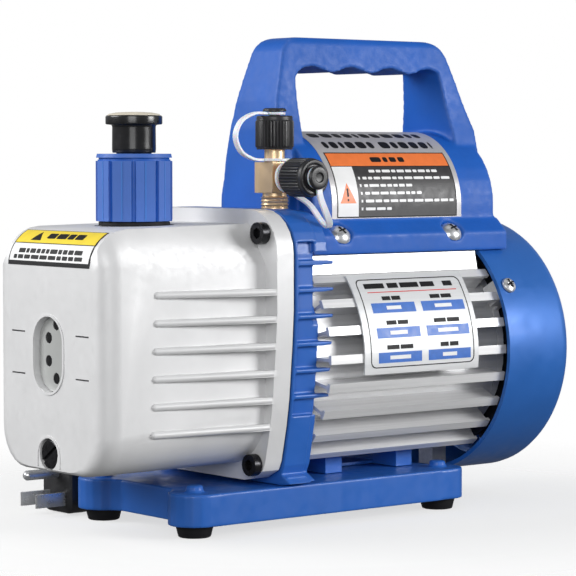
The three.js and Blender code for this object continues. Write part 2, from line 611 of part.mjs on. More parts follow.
/** A thin plate curved about the shaft line, bridging the fin tips. */
function nameplate() {
  const [from, to] = [180 - 40.5, 180 + 6.5];
  const r0 = HOUSING.finR + GAP;
  const outer = arc(0, SHAFT_Z, r0 + 0.8, from, to, 10);
  const inner = arc(0, SHAFT_Z, r0, to, from, 10);
  return alongX([...outer, ...inner], 1.2, 72);
}
add("nameplate", nameplate(), "steel");

// ---------------------------------------------------------------- handle with the switch inside its hump

/** Side profile of the grip frame, as [x, z] points. */
const gripSide = [
  [HANDLE.x0, 150], [HANDLE.x0, 182], [-15.6, 195],
  ...arc(HANDLE.topX0 + 11, HANDLE.topZ - 11, 11, 172, 90, 5),
  ...arc(HANDLE.topX1 - 13, HANDLE.topZ - 13, 13, 90, 18, 5),
  [HANDLE.x1, 182], [HANDLE.x1, 150],
];

/** The finger opening's outline: waves on the grip's underside, straight legs, and the hump below. */
function gripOpening() {
  const waves = Array.from({ length: 19 }, (_, i) => {
    const x = (i * 87) / 18;
    return [x, 209.6 - 1.5 * Math.cos((2 * Math.PI * (x - 20)) / 24.2)];
  });
  return [[-3, 140], [-3, 205], ...waves, [88, 204], [91.7, 181], [91.7, 140]];
}

/** Half-width of the grip frame against height, as [y, z] points: the bar and legs, then the legs' roots. */
const legRoot = [[20.3, 176], [22.3, 168], [23.5, 160], [24.3, 150]];
const gripFront = mirrored([
  [9, 224.5], [11, 222.5], [12.5, 215], [14, 207], [15.7, 195], [17.6, 186], ...legRoot,
]);

const SWITCH = { z: 153, halfWidth: 7.2, halfHeight: 9.8, x1: 108.6, depth: 16 };

function handle() {
  const frame = alongY(gripSide, -30, 30).intersect(alongX(gripFront, -20, 110));
  const grip = cut(frame, alongY(gripOpening(), -31, 31));
  const hump = alongX(
    [...arc(0, HUMP.axisZ, HUMP.r, 0, 180, 18), [-HUMP.r, 136], [HUMP.r, 136]],
    HUMP.x0,
    HUMP.x1,
  );
  const skirt = alongX(
    mirrored([[35, 139], [42, 132.6], [42, 123.7]]),
    HANDLE.rimX0,
    HANDLE.rimX1,
  );
  const innerR = HUMP.r - HUMP.wall;
  const inside = alongX(
    [...arc(0, HUMP.axisZ, innerR, 0, 180, 12), [-innerR, 139], [-28, 136], [-28, 120], [28, 120], [28, 136],
      [innerR, 139]],
    HUMP.x0 + HUMP.wall,
    HUMP.x1 - HUMP.wall,
  );
  const legRoots = [[HANDLE.x0, -3], [91.7, HANDLE.x1]].map(([x0, x1]) =>
    alongX(mirrored([...legRoot, [24.3, 123.7]]), x0, x1),
  );
  return cut(
    join(grip, hump, skirt, ...legRoots),
    inside,
    cylinder(COVER.r + GAP + 0.1, COVER.x0 - GAP, COVER.x1, X, SHAFT_POINT, ROUND.large),
    ...HANDLE_SCREWS.map((place) => onHandleScrew(place, SCREW_R + THREAD_GAP, -15, 2, ROUND.tiny)),
    ...HANDLE_SCREWS.map((place) => onHandleScrew(place, 5.9, 0, 12, ROUND.small)),
    box(HUMP.x1 - 12, 112, -SWITCH.halfWidth - GAP, SWITCH.halfWidth + GAP,
      SWITCH.z - SWITCH.halfHeight - GAP, SWITCH.z + SWITCH.halfHeight + GAP),
    cylinder(5.5 + GAP, 20, 40, Y, [GLAND.x, 0, GLAND.z], ROUND.small),
  );
}
add("handle", handle(), "blue_plastic");

HANDLE_SCREWS.forEach((place, i) => {
  const [x, side] = place;
  const direction = [0, side * SCREW_TILT[0], SCREW_TILT[1]];
  const point = [x, side * SCREW_SEAT.y, SCREW_SEAT.z];
  const line = [[0, GAP], [5.6, GAP], [5.6, 0.9], [4.6, 2.6], [2.6, 3.7], [0, 4.1]];
  const head = revolve(line, direction, point, ROUND.small);
  const shank = onHandleScrew(place, SCREW_R, -14, 1, ROUND.tiny);
  add(`handle_screw_${i + 1}`, join(head, shank), "steel");
});

add("capacitor", cylinder(14, 10, 62, X, [0, 0, 146]), "black_plastic");

const ROCKER = { pivotX: 104.5, halfWidth: 5, halfHeight: 7, tilt: 9 };

function switchFrame() {
  const { z, halfWidth, halfHeight, x1, depth } = SWITCH;
  const panelX = HANDLE.rimX1 - 0.2 + GAP;
  const bezel = box(panelX, x1, -halfWidth - 1.5, halfWidth + 1.5, z - halfHeight - 1.5, z + halfHeight + 1.5);
  const body = box(x1 - depth, x1, -halfWidth, halfWidth, z - halfHeight, z + halfHeight);
  const pocket = box(ROCKER.pivotX - 9, x1 + 2, -ROCKER.halfWidth - 0.4, ROCKER.halfWidth + 0.4,
    z - halfHeight + 1.6, z + halfHeight - 1.6);
  return cut(join(bezel, body), pocket);
}
add("switch_frame", switchFrame(), "black_plastic");

/** The rocker: a round-backed block with two shallow faces, tilted to its off position. */
function rocker() {
  const outline = [
    ...arc(0, 0, ROCKER.halfHeight, 110, 250, 8),
    [2.5, -ROCKER.halfHeight], [4.6, -ROCKER.halfHeight + 0.6], [3.4, 0], [4.6, ROCKER.halfHeight - 0.6],
    [2.5, ROCKER.halfHeight],
  ];
  const [c, s] = polar(1, -ROCKER.tilt);
  const turned = outline.map(([u, v]) => [ROCKER.pivotX + u * c - v * s, SWITCH.z + u * s + v * c]);
  return alongY(turned, -ROCKER.halfWidth, ROCKER.halfWidth);
}
add("rocker", rocker(), "black_plastic");

// ---------------------------------------------------------------- pump module inside the tank

const BORE_Z = SHAFT_Z - PUMP.offset;

add(
  "pump_stator",
  cut(
    cylinder(PUMP.bodyR, PUMP.x0, PUMP.x1, X, [0, 0, BORE_Z]),
    cylinder(PUMP.boreR, PUMP.x0 - 1, PUMP.x1 + 1, X, [0, 0, BORE_Z], ROUND.large),
    cylinder(3, 20, 34, [0, -0.5, 0.87], [-74, 0, BORE_Z], ROUND.tiny),
  ),
  "core_steel",
);
add("pump_end_cover", cylinder(PUMP.bodyR, PUMP.x0 - 6, PUMP.x0 - GAP, X, [0, 0, BORE_Z]), "core_steel");
add(
  "pump_flange",
  join(
    cylinder(PUMP.bodyR, PUMP.x1 + GAP, PUMP.x1 + 6, X, [0, 0, BORE_Z]),
    cylinder(16, PUMP.x1 + 5, GASKET.x0 - 3, X, SHAFT_POINT, ROUND.small),
  ).subtract(cylinder(10, PUMP.x1 - 1, BRACKET.x0, X, SHAFT_POINT, ROUND.small)),
  "core_steel",
);

const VANE = { halfThick: 2, inner: 5.5, tip: PUMP.rotorR - 0.3 };
const rotorX = [PUMP.x0 + 0.3, PUMP.x1 - 0.3];
const vaneSlot = box(rotorX[0] - 1, rotorX[1] + 1, -20, 20, SHAFT_Z - VANE.halfThick - 0.05,
  SHAFT_Z + VANE.halfThick + 0.05);
const slotEnd = box(rotorX[1] - 5, rotorX[1] + 1, -20, 20, SHAFT_Z - 3, SHAFT_Z + 3);
add(
  "pump_rotor",
  join(
    cylinder(PUMP.rotorR, rotorX[0], rotorX[1], X, SHAFT_POINT).subtract(vaneSlot.subtract(slotEnd)),
  ).subtract(box(rotorX[1] - 4, rotorX[1] + 1, -3.8, 3.8, SHAFT_Z - 1.8, SHAFT_Z + 1.8)),
  "steel",
);
for (const [name, side] of [["vane_right", -1], ["vane_left", 1]]) {
  const [y0, y1] = [side * VANE.inner, side * VANE.tip].sort((a, b) => a - b);
  add(name, box(rotorX[0], rotorX[1] - 5.3, y0, y1, SHAFT_Z - VANE.halfThick, SHAFT_Z + VANE.halfThick),
    "black_plastic");
}

// ---------------------------------------------------------------- oil fill cap, its seal and the exhaust plug

const fillPoint = [FILL.x, 0, 0];

function fillCap() {
  const { r, topZ, seatZ, neckR } = FILL;
  const skirtZ = seatZ + 2.2;
  const shell = revolve([
    [0, skirtZ], [r - 0.7, skirtZ], [r - 0.7, topZ - 2.6], [r - 1.2, topZ - 2.6],
    [r - 1.2, topZ - 1.8], [r, topZ - 1.8],
    [r - 0.4, topZ], [0, topZ],
  ], Z, fillPoint, ROUND.large);
  const panel = box(-4.4, 4.4, r - 1.6, r, skirtZ, topZ - 3.2);
  const panels = Array.from({ length: 10 }, (_, i) =>
    panel.rotate([0, 0, i * 36 + 18]).translate(fillPoint),
  );
  const neck = cylinder(neckR, seatZ - 9, skirtZ + 1, Z, fillPoint, ROUND.small);
  const socket = cylinder(8.2, topZ - 14, topZ + 1, Z, fillPoint, ROUND.small);
  const vent = cylinder(4, seatZ - 10, topZ, Z, fillPoint, ROUND.tiny);
  return cut(join(shell, ...panels, neck), socket, vent);
}
add("fill_cap", fillCap(), "blue_plastic");
add("fill_cap_seal", cylinder(16.3, FILL.seatZ + 0.1, FILL.seatZ + 1.9, Z, fillPoint, ROUND.small, FILL.neckR + 0.3),
  "black_rubber");

add(
  "exhaust_plug",
  revolve([
    [0, FILL.topZ - 12], [7.9, FILL.topZ - 12], [7.9, FILL.topZ + 0.3], [9.6, FILL.topZ + 0.3],
    [10.1, FILL.topZ + 1.5],
    [10.1, FILL.topZ + 12.6], [12.6, FILL.topZ + 13.4], [13, FILL.topZ + 14.2], [13, FILL.topZ + 16.6],
    [12.2, FILL.topZ + 17.4], [0, FILL.topZ + 17.4],
  ], Z, fillPoint),
  "black_rubber",
);

// ---------------------------------------------------------------- drain plug

const DRAIN_POINT = [0, 0, DRAIN.z];
const drainHead = revolve([
  [0, TANK.frontX + 0.3], [DRAIN.r - 0.4, TANK.frontX + 0.3], [DRAIN.r, TANK.frontX + 0.8],
  [DRAIN.r, TANK.frontX + 2.2], [0, TANK.frontX + 2.2],
], X, DRAIN_POINT, ROUND.small);
const drainSlot = box(TANK.frontX - 1, TANK.frontX + 1.3, -8, 8, -0.8, 0.8)
  .rotate([-35, 0, 0])
  .translate(DRAIN_POINT);
add(
  "drain_plug",
  cut(join(drainHead, cylinder(4.1, TANK.frontX + 2, TANK.frontX + 10.5, X, DRAIN_POINT, ROUND.tiny)), drainSlot),
  "black_oxide",
);
add(
  "drain_seal",
  cylinder(6.4, TANK.frontX + 2.4, TANK.frontX + 3.3, X, DRAIN_POINT, ROUND.small, 4.3),
  "black_rubber",
);

// ---------------------------------------------------------------- intake fitting, flare caps and tethers

const portPoint = [INTAKE.x, INTAKE.y, 0];
const sidePoint = [INTAKE.x, 0, INTAKE.sideZ];
const FLARE = { neckR: 4.7, threadR: 5.6, boreR: 2.6 };
const TOP_PORT = { z0: 166.2, z1: 183 };
const SIDE_PORT = { y0: INTAKE.y - 6.5, y1: -50 };

function intakeTee() {
  const thread = revolve([
    [0, 136], [6.3, 136], [6.3, 145.5], [5.9, 146], [6.4, 146.7], [5.9, 147.6], [6.4, 148.4], [5.9, 149.2],
    [6.4, 150], [5.6, 150.6], [5.6, 153], [0, 153],
  ], Z, portPoint, ROUND.small);
  const block = box(INTAKE.x - 6.5, INTAKE.x + 6.5, INTAKE.y - 6.5, INTAKE.y + 6.5, 152.2, TOP_PORT.z0);
  const topArm = revolve([
    [0, 165], [FLARE.neckR, 165], [FLARE.neckR, 171.5], [FLARE.threadR, 172.3], [FLARE.threadR, 180],
    [3.4, TOP_PORT.z1], [0, TOP_PORT.z1],
  ], Z, portPoint, ROUND.small);
  const sideArm = revolve([
    [0, -32], [FLARE.neckR, -32], [FLARE.neckR, -39.5], [FLARE.threadR, -40.2], [FLARE.threadR, -47.6],
    [3.4, SIDE_PORT.y1], [0, SIDE_PORT.y1],
  ], Y, sidePoint, ROUND.small);
  return cut(
    join(thread, block, topArm, sideArm),
    cylinder(FLARE.boreR, 135, TOP_PORT.z1 + 1, Z, portPoint, ROUND.tiny),
    cylinder(FLARE.boreR, SIDE_PORT.y1 - 1, INTAKE.y, Y, sidePoint, ROUND.tiny),
  );
}
add("intake_tee", intakeTee(), "brass");

/** A knurled flare cap from its open mouth at t0 to its closed end at t1, with the tether's knob beyond. */
function flareCap(t0, t1, direction, point, seatT, knobR) {
  const sign = Math.sign(t1 - t0);
  const r = INTAKE.capR;
  const shell = revolve([
    [FLARE.threadR + 0.3, t0], [r - 0.6, t0], [r, t0 + sign * 0.8], [r, t1 - sign * 2.4], [r - 0.8, t1 - sign * 2.2],
    [r - 0.8, t1], [2.4, t1], [2.4, t1 + sign * 1.9], [knobR, t1 + sign * 1.9], [knobR - 0.6, t1 + sign * 3.4],
    [0, t1 + sign * 3.6], [0, seatT + sign * 1.2], [FLARE.threadR + 0.3, seatT + sign * 1.2],
  ], direction, point, 20);
  return shell;
}
const topCapT = [171.9, 187.3];
const sideCapT = [-40, -56];
add("top_cap", flareCap(...topCapT, Z, portPoint, TOP_PORT.z1, 5.4), "black_plastic");
add("side_cap", flareCap(...sideCapT, Y, sidePoint, SIDE_PORT.y1, 5.4), "black_plastic");
const topSeal = cylinder(5, TOP_PORT.z1 + 0.1, TOP_PORT.z1 + 0.9, Z, portPoint, ROUND.tiny, 1.5);
const sideSeal = cylinder(5, SIDE_PORT.y1 - 0.9, SIDE_PORT.y1 - 0.1, Y, sidePoint, ROUND.tiny, 1.5);
add("top_cap_seal", topSeal, "black_rubber");
add("side_cap_seal", sideSeal, "black_rubber");

/** A flat strap along a route; its width keeps as close to widthAxis as its direction allows. */
function strap(points, widthAxis, width, thickness, steps) {
  const curve = new THREE.CatmullRomCurve3(points.map((p) => new THREE.Vector3(...p)));
  const axis = new THREE.Vector3(...widthAxis);
  const sections = Array.from({ length: steps + 1 }, (_, i) => {
    const centre = curve.getPointAt(i / steps);
    const tangent = curve.getTangentAt(i / steps);
    const across = axis.clone().addScaledVector(tangent, -axis.dot(tangent)).normalize();
    const through = new THREE.Vector3().crossVectors(tangent, across);
    return [[1, 1], [-1, 1], [-1, -1], [1, -1]].map(([u, v]) =>
      centre.clone().addScaledVector(across, (u * width) / 2).addScaledVector(through, (v * thickness) / 2).toArray(),
    );
  });
  return loft(sections);
}

const STRAP = { width: 3.2, thickness: 1.3, knobR: 3 };

/** A strap ring round an axis, with the hole that its neck or knob turns in. */
const ring = (direction, point, middle, innerR) =>
  cylinder(innerR + 2, middle - STRAP.thickness / 2, middle + STRAP.thickness / 2, direction, point, ROUND.small, innerR);

const TOP_TETHER = { knobZ: topCapT[1] + 1, neckZ: TOP_PORT.z0 + 1, reach: 22.6 };
const topLoop = [
  [-4.4, TOP_TETHER.knobZ], [-12, TOP_TETHER.knobZ - 0.1], [-19.5, 184.6], [-TOP_TETHER.reach, 177.8],
  [-19.5, 171], [-12.5, TOP_TETHER.neckZ + 0.4], [-6.2, TOP_TETHER.neckZ],
].map(([dx, z]) => [INTAKE.x + dx, INTAKE.y, z]);
add(
  "top_tether",
  join(
    ring(Z, portPoint, TOP_TETHER.knobZ, STRAP.knobR),
    ring(Z, portPoint, TOP_TETHER.neckZ, FLARE.neckR + 0.4),
    strap(topLoop, Y, STRAP.width, STRAP.thickness, 18),
  ),
  "white_plastic",
);

const SIDE_TETHER = { knobY: sideCapT[1] - 1, neckY: -36.4 };
const sideLoop = [
  [1.5, SIDE_TETHER.knobY, 155.4], [2.2, SIDE_TETHER.knobY - 0.1, 150.6], [5.8, -56.4, 144], [10.6, -53.4, 138.8],
  [12.6, -49.8, 136.8], [12, -46, 139.4], [8.8, -41.8, 146.6], [4, -38.2, 151], [1.8, SIDE_TETHER.neckY, 154],
].map(([dx, y, z]) => [INTAKE.x + dx, y, z]);
add(
  "side_tether",
  join(
    ring(Y, sidePoint, SIDE_TETHER.knobY, STRAP.knobR),
    ring(Y, sidePoint, SIDE_TETHER.neckY, FLARE.neckR + 0.4),
    strap(sideLoop, X, STRAP.width - 0.2, STRAP.thickness, 22),
  ),
  "white_plastic",
);

// ---------------------------------------------------------------- mains lead: gland, cord, coil and plug

const glandPoint = [GLAND.x, 0, GLAND.z];
add(
  "cord_gland",
  revolve([
    [CORD_R + GAP, GLAND.y0 - 3], [5.5, GLAND.y0 - 3], [5.5, HUMP.r + GAP], [8, HUMP.r + GAP], [8, HUMP.r + 3],
    [6.8, HUMP.r + 4], [5, GLAND.y1], [CORD_R + GAP, GLAND.y1],
  ], Y, glandPoint, ROUND.small),
  "black_rubber",
);

/** A round cord through hand-placed points, with eight sides. */
function cord(points, steps) {
  const curve = new THREE.CatmullRomCurve3(points.map((p) => new THREE.Vector3(...p)));
  const section = new THREE.Shape(arc(0, 0, CORD_R, 0, 315, 7).map(([u, v]) => new THREE.Vector2(u, v)));
  return solid(new THREE.ExtrudeGeometry(section, { steps, extrudePath: curve, bevelEnabled: false }));
}

const cordDrop = [
  [72, 31, 147.5], [72, 45, 147.5], [72, 60, 147.2], [72.6, 72, 143.8], [74, 82, 134.5], [76.4, 87.6, 120],
  [79.4, 89.6, 102], [83, 90.6, 82], [86.6, 92.6, 62], [89.8, 96.6, 45], [92.4, 103.6, 30.5], [94, 112.6, 21.2],
  [94.4, 122, 17.9],
];
add("cord_drop", cord(cordDrop, 34), "black_rubber");

add(
  "cord_coil",
  cylinder(COIL.outerR, 0.05, COIL.height + 0.05, Z, [COIL.x, COIL.y, 0], ROUND.medium, COIL.innerR),
  "black_rubber",
);

const cordTail = [
  [9.5, 98, 3.6], [8.6, 90, 3.6], [4, 80.6, 3.6], [-5, 73.4, 3.6], [-16, 69, 4.6], [-28, 66, 7.6],
  [-38, 64.7, 11], [-45, 64.5, 12.8],
  [-50.6, 64.5, 13],
];
add("cord_tail", cord(cordTail, 16), "black_rubber");

function mainsPlug() {
  const { x, y, z, halfWidth, halfHeight, length } = PLUG;
  const frontX = x - length / 2;
  const rearX = x + length / 2;
  const corner = (w, h, r) => [
    ...arc(y + w - r, z + h - r, r, 0, 90, 3), ...arc(y - w + r, z + h - r, r, 90, 180, 3),
    ...arc(y - w + r, z - h + r, r, 180, 270, 3), ...arc(y + w - r, z - h + r, r, 270, 360, 3),
  ];
  const section = (px, w, h) => corner(w, h, 5).map(([u, v]) => [px, u, v]);
  const body = loft([
    section(frontX, halfWidth, halfHeight), section(x, halfWidth, halfHeight),
    section(x + length * 0.3, halfWidth * 0.8, halfHeight * 0.85), section(rearX, 6.5, 6.5),
  ]);
  const bootLine = [[0, rearX - 2], [6, rearX - 2], [4.6, rearX + 12], [0, rearX + 12]];
  const boot = revolve(bootLine, X, [0, y, z], ROUND.small);
  const blades = [-6.35, 6.35].map((dy) =>
    box(frontX - 16, frontX + 2, y + dy - 0.8, y + dy + 0.8, z - 8.8, z - 2.4),
  );
  const pin = cylinder(2.4, frontX - 18.5, frontX + 2, X, [0, y, z + 6.2], ROUND.tiny);
  return join(body, boot, ...blades, pin);
}
add("mains_plug", mainsPlug(), "black_plastic");

export default pump;
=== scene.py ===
"""Visual model of a small rotary-vane vacuum pump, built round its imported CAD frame."""
import json
import math
import random

import bmesh
import bpy
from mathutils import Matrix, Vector

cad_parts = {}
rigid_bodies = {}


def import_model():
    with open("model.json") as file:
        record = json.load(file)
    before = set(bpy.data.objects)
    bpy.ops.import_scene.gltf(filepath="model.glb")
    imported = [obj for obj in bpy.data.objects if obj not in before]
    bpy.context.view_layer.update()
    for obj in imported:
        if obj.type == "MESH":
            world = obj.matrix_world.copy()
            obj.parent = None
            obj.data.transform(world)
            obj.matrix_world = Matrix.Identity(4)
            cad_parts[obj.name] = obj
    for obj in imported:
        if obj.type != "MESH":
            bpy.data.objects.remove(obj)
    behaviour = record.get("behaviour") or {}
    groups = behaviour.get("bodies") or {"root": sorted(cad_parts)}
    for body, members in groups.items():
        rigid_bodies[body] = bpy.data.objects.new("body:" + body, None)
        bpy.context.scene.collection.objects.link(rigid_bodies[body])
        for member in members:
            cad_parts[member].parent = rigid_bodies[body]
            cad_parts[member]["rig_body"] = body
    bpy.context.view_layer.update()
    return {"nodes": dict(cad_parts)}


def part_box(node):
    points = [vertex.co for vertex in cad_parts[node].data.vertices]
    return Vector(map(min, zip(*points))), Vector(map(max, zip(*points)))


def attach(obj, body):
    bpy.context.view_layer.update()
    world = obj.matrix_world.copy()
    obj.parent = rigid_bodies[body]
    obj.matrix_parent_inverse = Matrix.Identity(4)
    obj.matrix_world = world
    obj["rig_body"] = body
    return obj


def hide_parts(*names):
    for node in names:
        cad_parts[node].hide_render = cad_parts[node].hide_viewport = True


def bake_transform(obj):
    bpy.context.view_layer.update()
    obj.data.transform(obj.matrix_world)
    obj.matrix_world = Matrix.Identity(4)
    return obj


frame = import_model()
NODES = frame["nodes"]
MM = 0.001
rng = random.Random(7)


# ---------------------------------------------------------------- camera, floor and studio light
CAMERA_PLACE = (-0.73985, -0.92206, 0.1696)
CAMERA_TURN = 38.88
CAMERA_DIP = 3.05
LENS_MM = 156.49
SENSOR_MM = 36


def place_camera():
    turn, dip = math.radians(CAMERA_TURN), math.radians(CAMERA_DIP)
    forward = Vector((math.sin(turn) * math.cos(dip), math.cos(turn) * math.cos(dip), -math.sin(dip)))
    camera = bpy.data.objects.new("camera", bpy.data.cameras.new("camera"))
    camera.data.lens = LENS_MM
    camera.data.sensor_width = SENSOR_MM
    camera.location = CAMERA_PLACE
    camera.rotation_euler = forward.to_track_quat("-Z", "Y").to_euler()
    bpy.context.scene.collection.objects.link(camera)
    bpy.context.scene.camera = camera


def area_light(name, place, target, size, power):
    data = bpy.data.lights.new(name, "AREA")
    data.shape = "RECTANGLE"
    data.size, data.size_y = size
    data.energy = power
    light = bpy.data.objects.new(name, data)
    light.location = place
    light.rotation_euler = (Vector(target) - Vector(place)).to_track_quat("-Z", "Y").to_euler()
    bpy.context.scene.collection.objects.link(light)


def studio():
    """A white backdrop for the camera, dimmer surroundings for everything else, and four soft boxes."""
    world = bpy.data.worlds.new("studio")
    world.use_nodes = True
    nodes, links = world.node_tree.nodes, world.node_tree.links
    fill = nodes["Background"]
    backdrop = nodes.new("ShaderNodeBackground")
    blend = nodes.new("ShaderNodeMixShader")
    fill.inputs["Color"].default_value = (0.97, 0.985, 1, 1)
    height, levels = nodes.new("ShaderNodeSeparateXYZ"), nodes.new("ShaderNodeValToRGB")
    links.new(nodes.new("ShaderNodeTexCoord").outputs["Generated"], height.inputs[0])
    links.new(height.outputs["Z"], levels.inputs["Fac"])
    for height_share, level in ((0.12, 0.58), (0.45, 0.30), (0.9, 0.12)):
        levels.color_ramp.elements.new(height_share).color = (level, level, level, 1)
    levels.color_ramp.elements[0].color = (0.14, 0.14, 0.14, 1)
    levels.color_ramp.elements[-1].color = (0.14, 0.14, 0.14, 1)
    links.new(levels.outputs["Color"], fill.inputs["Strength"])
    backdrop.inputs["Color"].default_value = (1, 1, 1, 1)
    backdrop.inputs["Strength"].default_value = 1.0
    links.new(nodes.new("ShaderNodeLightPath").outputs["Is Camera Ray"], blend.inputs["Fac"])
    links.new(fill.outputs[0], blend.inputs[1])
    links.new(backdrop.outputs[0], blend.inputs[2])
    links.new(blend.outputs[0], nodes["World Output"].inputs["Surface"])
    bpy.context.scene.world = world
    bpy.context.scene.view_settings.view_transform = "Standard"
    centre = (0, 0, 0.1)
    area_light("front_box", (-1.05, 0.7, 0.75), centre, (0.8, 0.8), 16)
    area_light("side_box", (0.85, -1.15, 0.45), centre, (0.6, 0.45), 14)
    area_light("key", (-0.95, -0.95, 0.45), centre, (0.7, 0.6), 6)
    area_light("top", (0.1, -0.1, 1.4), centre, (0.9, 0.9), 1.2)
    paper_floor()


def paper_floor():
    """A sheet of white paper that thins out to nothing away from the pump, so it has no far edge."""
    mesh = bpy.data.meshes.new("floor")
    mesh.from_pydata([(-2, -2, 0), (2, -2, 0), (2, 2, 0), (-2, 2, 0)], [], [(0, 1, 2, 3)])
    floor = bpy.data.objects.new("floor", mesh)
    bpy.context.scene.collection.objects.link(floor)
    floor.visible_diffuse = False
    floor.visible_glossy = False
    paper = bpy.data.materials.new("paper")
    paper.use_nodes = True
    nodes, links = paper.node_tree.nodes, paper.node_tree.links
    shader = nodes["Principled BSDF"]
    shader.inputs["Base Color"].default_value = (0.93, 0.93, 0.93, 1)
    shader.inputs["Roughness"].default_value = 0.9
    away = nodes.new("ShaderNodeVectorMath")
    away.operation = "LENGTH"
    links.new(nodes.new("ShaderNodeTexCoord").outputs["Object"], away.inputs[0])
    fade = nodes.new("ShaderNodeMapRange")
    fade.inputs["From Min"].default_value = 0.16
    fade.inputs["From Max"].default_value = 0.34
    fade.inputs["To Min"].default_value = 0.35
    fade.inputs["To Max"].default_value = 0
    links.new(away.outputs["Value"], fade.inputs["Value"])
    links.new(fade.outputs["Result"], shader.inputs["Alpha"])
    mesh.materials.append(paper)
    return floor


place_camera()
studio()


# ---------------------------------------------------------------- materials
def surface(name, color, rough, metal=0.0, tone=0.08, tone_mm=22, grain=0.0, grain_mm=0.5, rough_spread=0.08,
            stretch=(1, 1, 1), edge_highlight=0.0, coat=0.0, sheen_through=0.0, shine=0.5):
    """A finish whose tone, roughness and grain vary over the surface; a highlight can be painted on its
    raised corners.
    """
    mat = bpy.data.materials.new(name)
    mat.use_nodes = True
    nodes, links = mat.node_tree.nodes, mat.node_tree.links
    shader = nodes["Principled BSDF"]
    coords = nodes.new("ShaderNodeTexCoord")

    def noise(size_mm, detail):
        mapping = nodes.new("ShaderNodeMapping")
        mapping.inputs["Scale"].default_value = [s / (size_mm * MM) for s in stretch]
        texture = nodes.new("ShaderNodeTexNoise")
        texture.inputs["Scale"].default_value = 1
        texture.inputs["Detail"].default_value = detail
        links.new(coords.outputs["Object"], mapping.inputs["Vector"])
        links.new(mapping.outputs["Vector"], texture.inputs["Vector"])
        return texture.outputs["Fac"]

    ramp = nodes.new("ShaderNodeValToRGB")
    for element, place, shade in zip(ramp.color_ramp.elements, (0.3, 0.7), (1 - tone, 1 + tone)):
        element.position = place
        element.color = [min(1, c * shade) for c in color] + [1]
    links.new(noise(tone_mm, 3), ramp.inputs["Fac"])
    result = ramp.outputs["Color"]
    # Painted highlight: raised corners, found by pointiness, are mixed towards a paler colour.
    if edge_highlight:
        geometry = nodes.new("ShaderNodeNewGeometry")
        reach = nodes.new("ShaderNodeMapRange")
        reach.inputs["From Min"].default_value = 0.505
        reach.inputs["From Max"].default_value = 0.56
        reach.inputs["To Max"].default_value = edge_highlight
        links.new(geometry.outputs["Pointiness"], reach.inputs["Value"])
        mix = nodes.new("ShaderNodeMix")
        mix.data_type = "RGBA"
        mix.inputs[7].default_value = [0.45 + 0.55 * c for c in color] + [1]
        links.new(reach.outputs["Result"], mix.inputs[0])
        links.new(result, mix.inputs[6])
        result = mix.outputs[2]
    links.new(result, shader.inputs["Base Color"])
    spread = nodes.new("ShaderNodeMapRange")
    spread.inputs["From Min"].default_value = 0.3
    spread.inputs["From Max"].default_value = 0.7
    spread.inputs["To Min"].default_value = rough - rough_spread
    spread.inputs["To Max"].default_value = rough + rough_spread
    links.new(noise(max(grain_mm * 6, 3), 4), spread.inputs["Value"])
    links.new(spread.outputs["Result"], shader.inputs["Roughness"])
    if grain:
        bump = nodes.new("ShaderNodeBump")
        bump.inputs["Distance"].default_value = grain * MM
        links.new(noise(grain_mm, 2), bump.inputs["Height"])
        links.new(bump.outputs["Normal"], shader.inputs["Normal"])
    shader.inputs["Metallic"].default_value = metal
    shader.inputs["Specular IOR Level"].default_value = shine
    shader.inputs["Coat Weight"].default_value = coat
    shader.inputs["Coat Roughness"].default_value = 0.15
    if sheen_through:
        shader.inputs["Subsurface Weight"].default_value = sheen_through
        shader.inputs["Subsurface Scale"].default_value = 0.002
    return mat


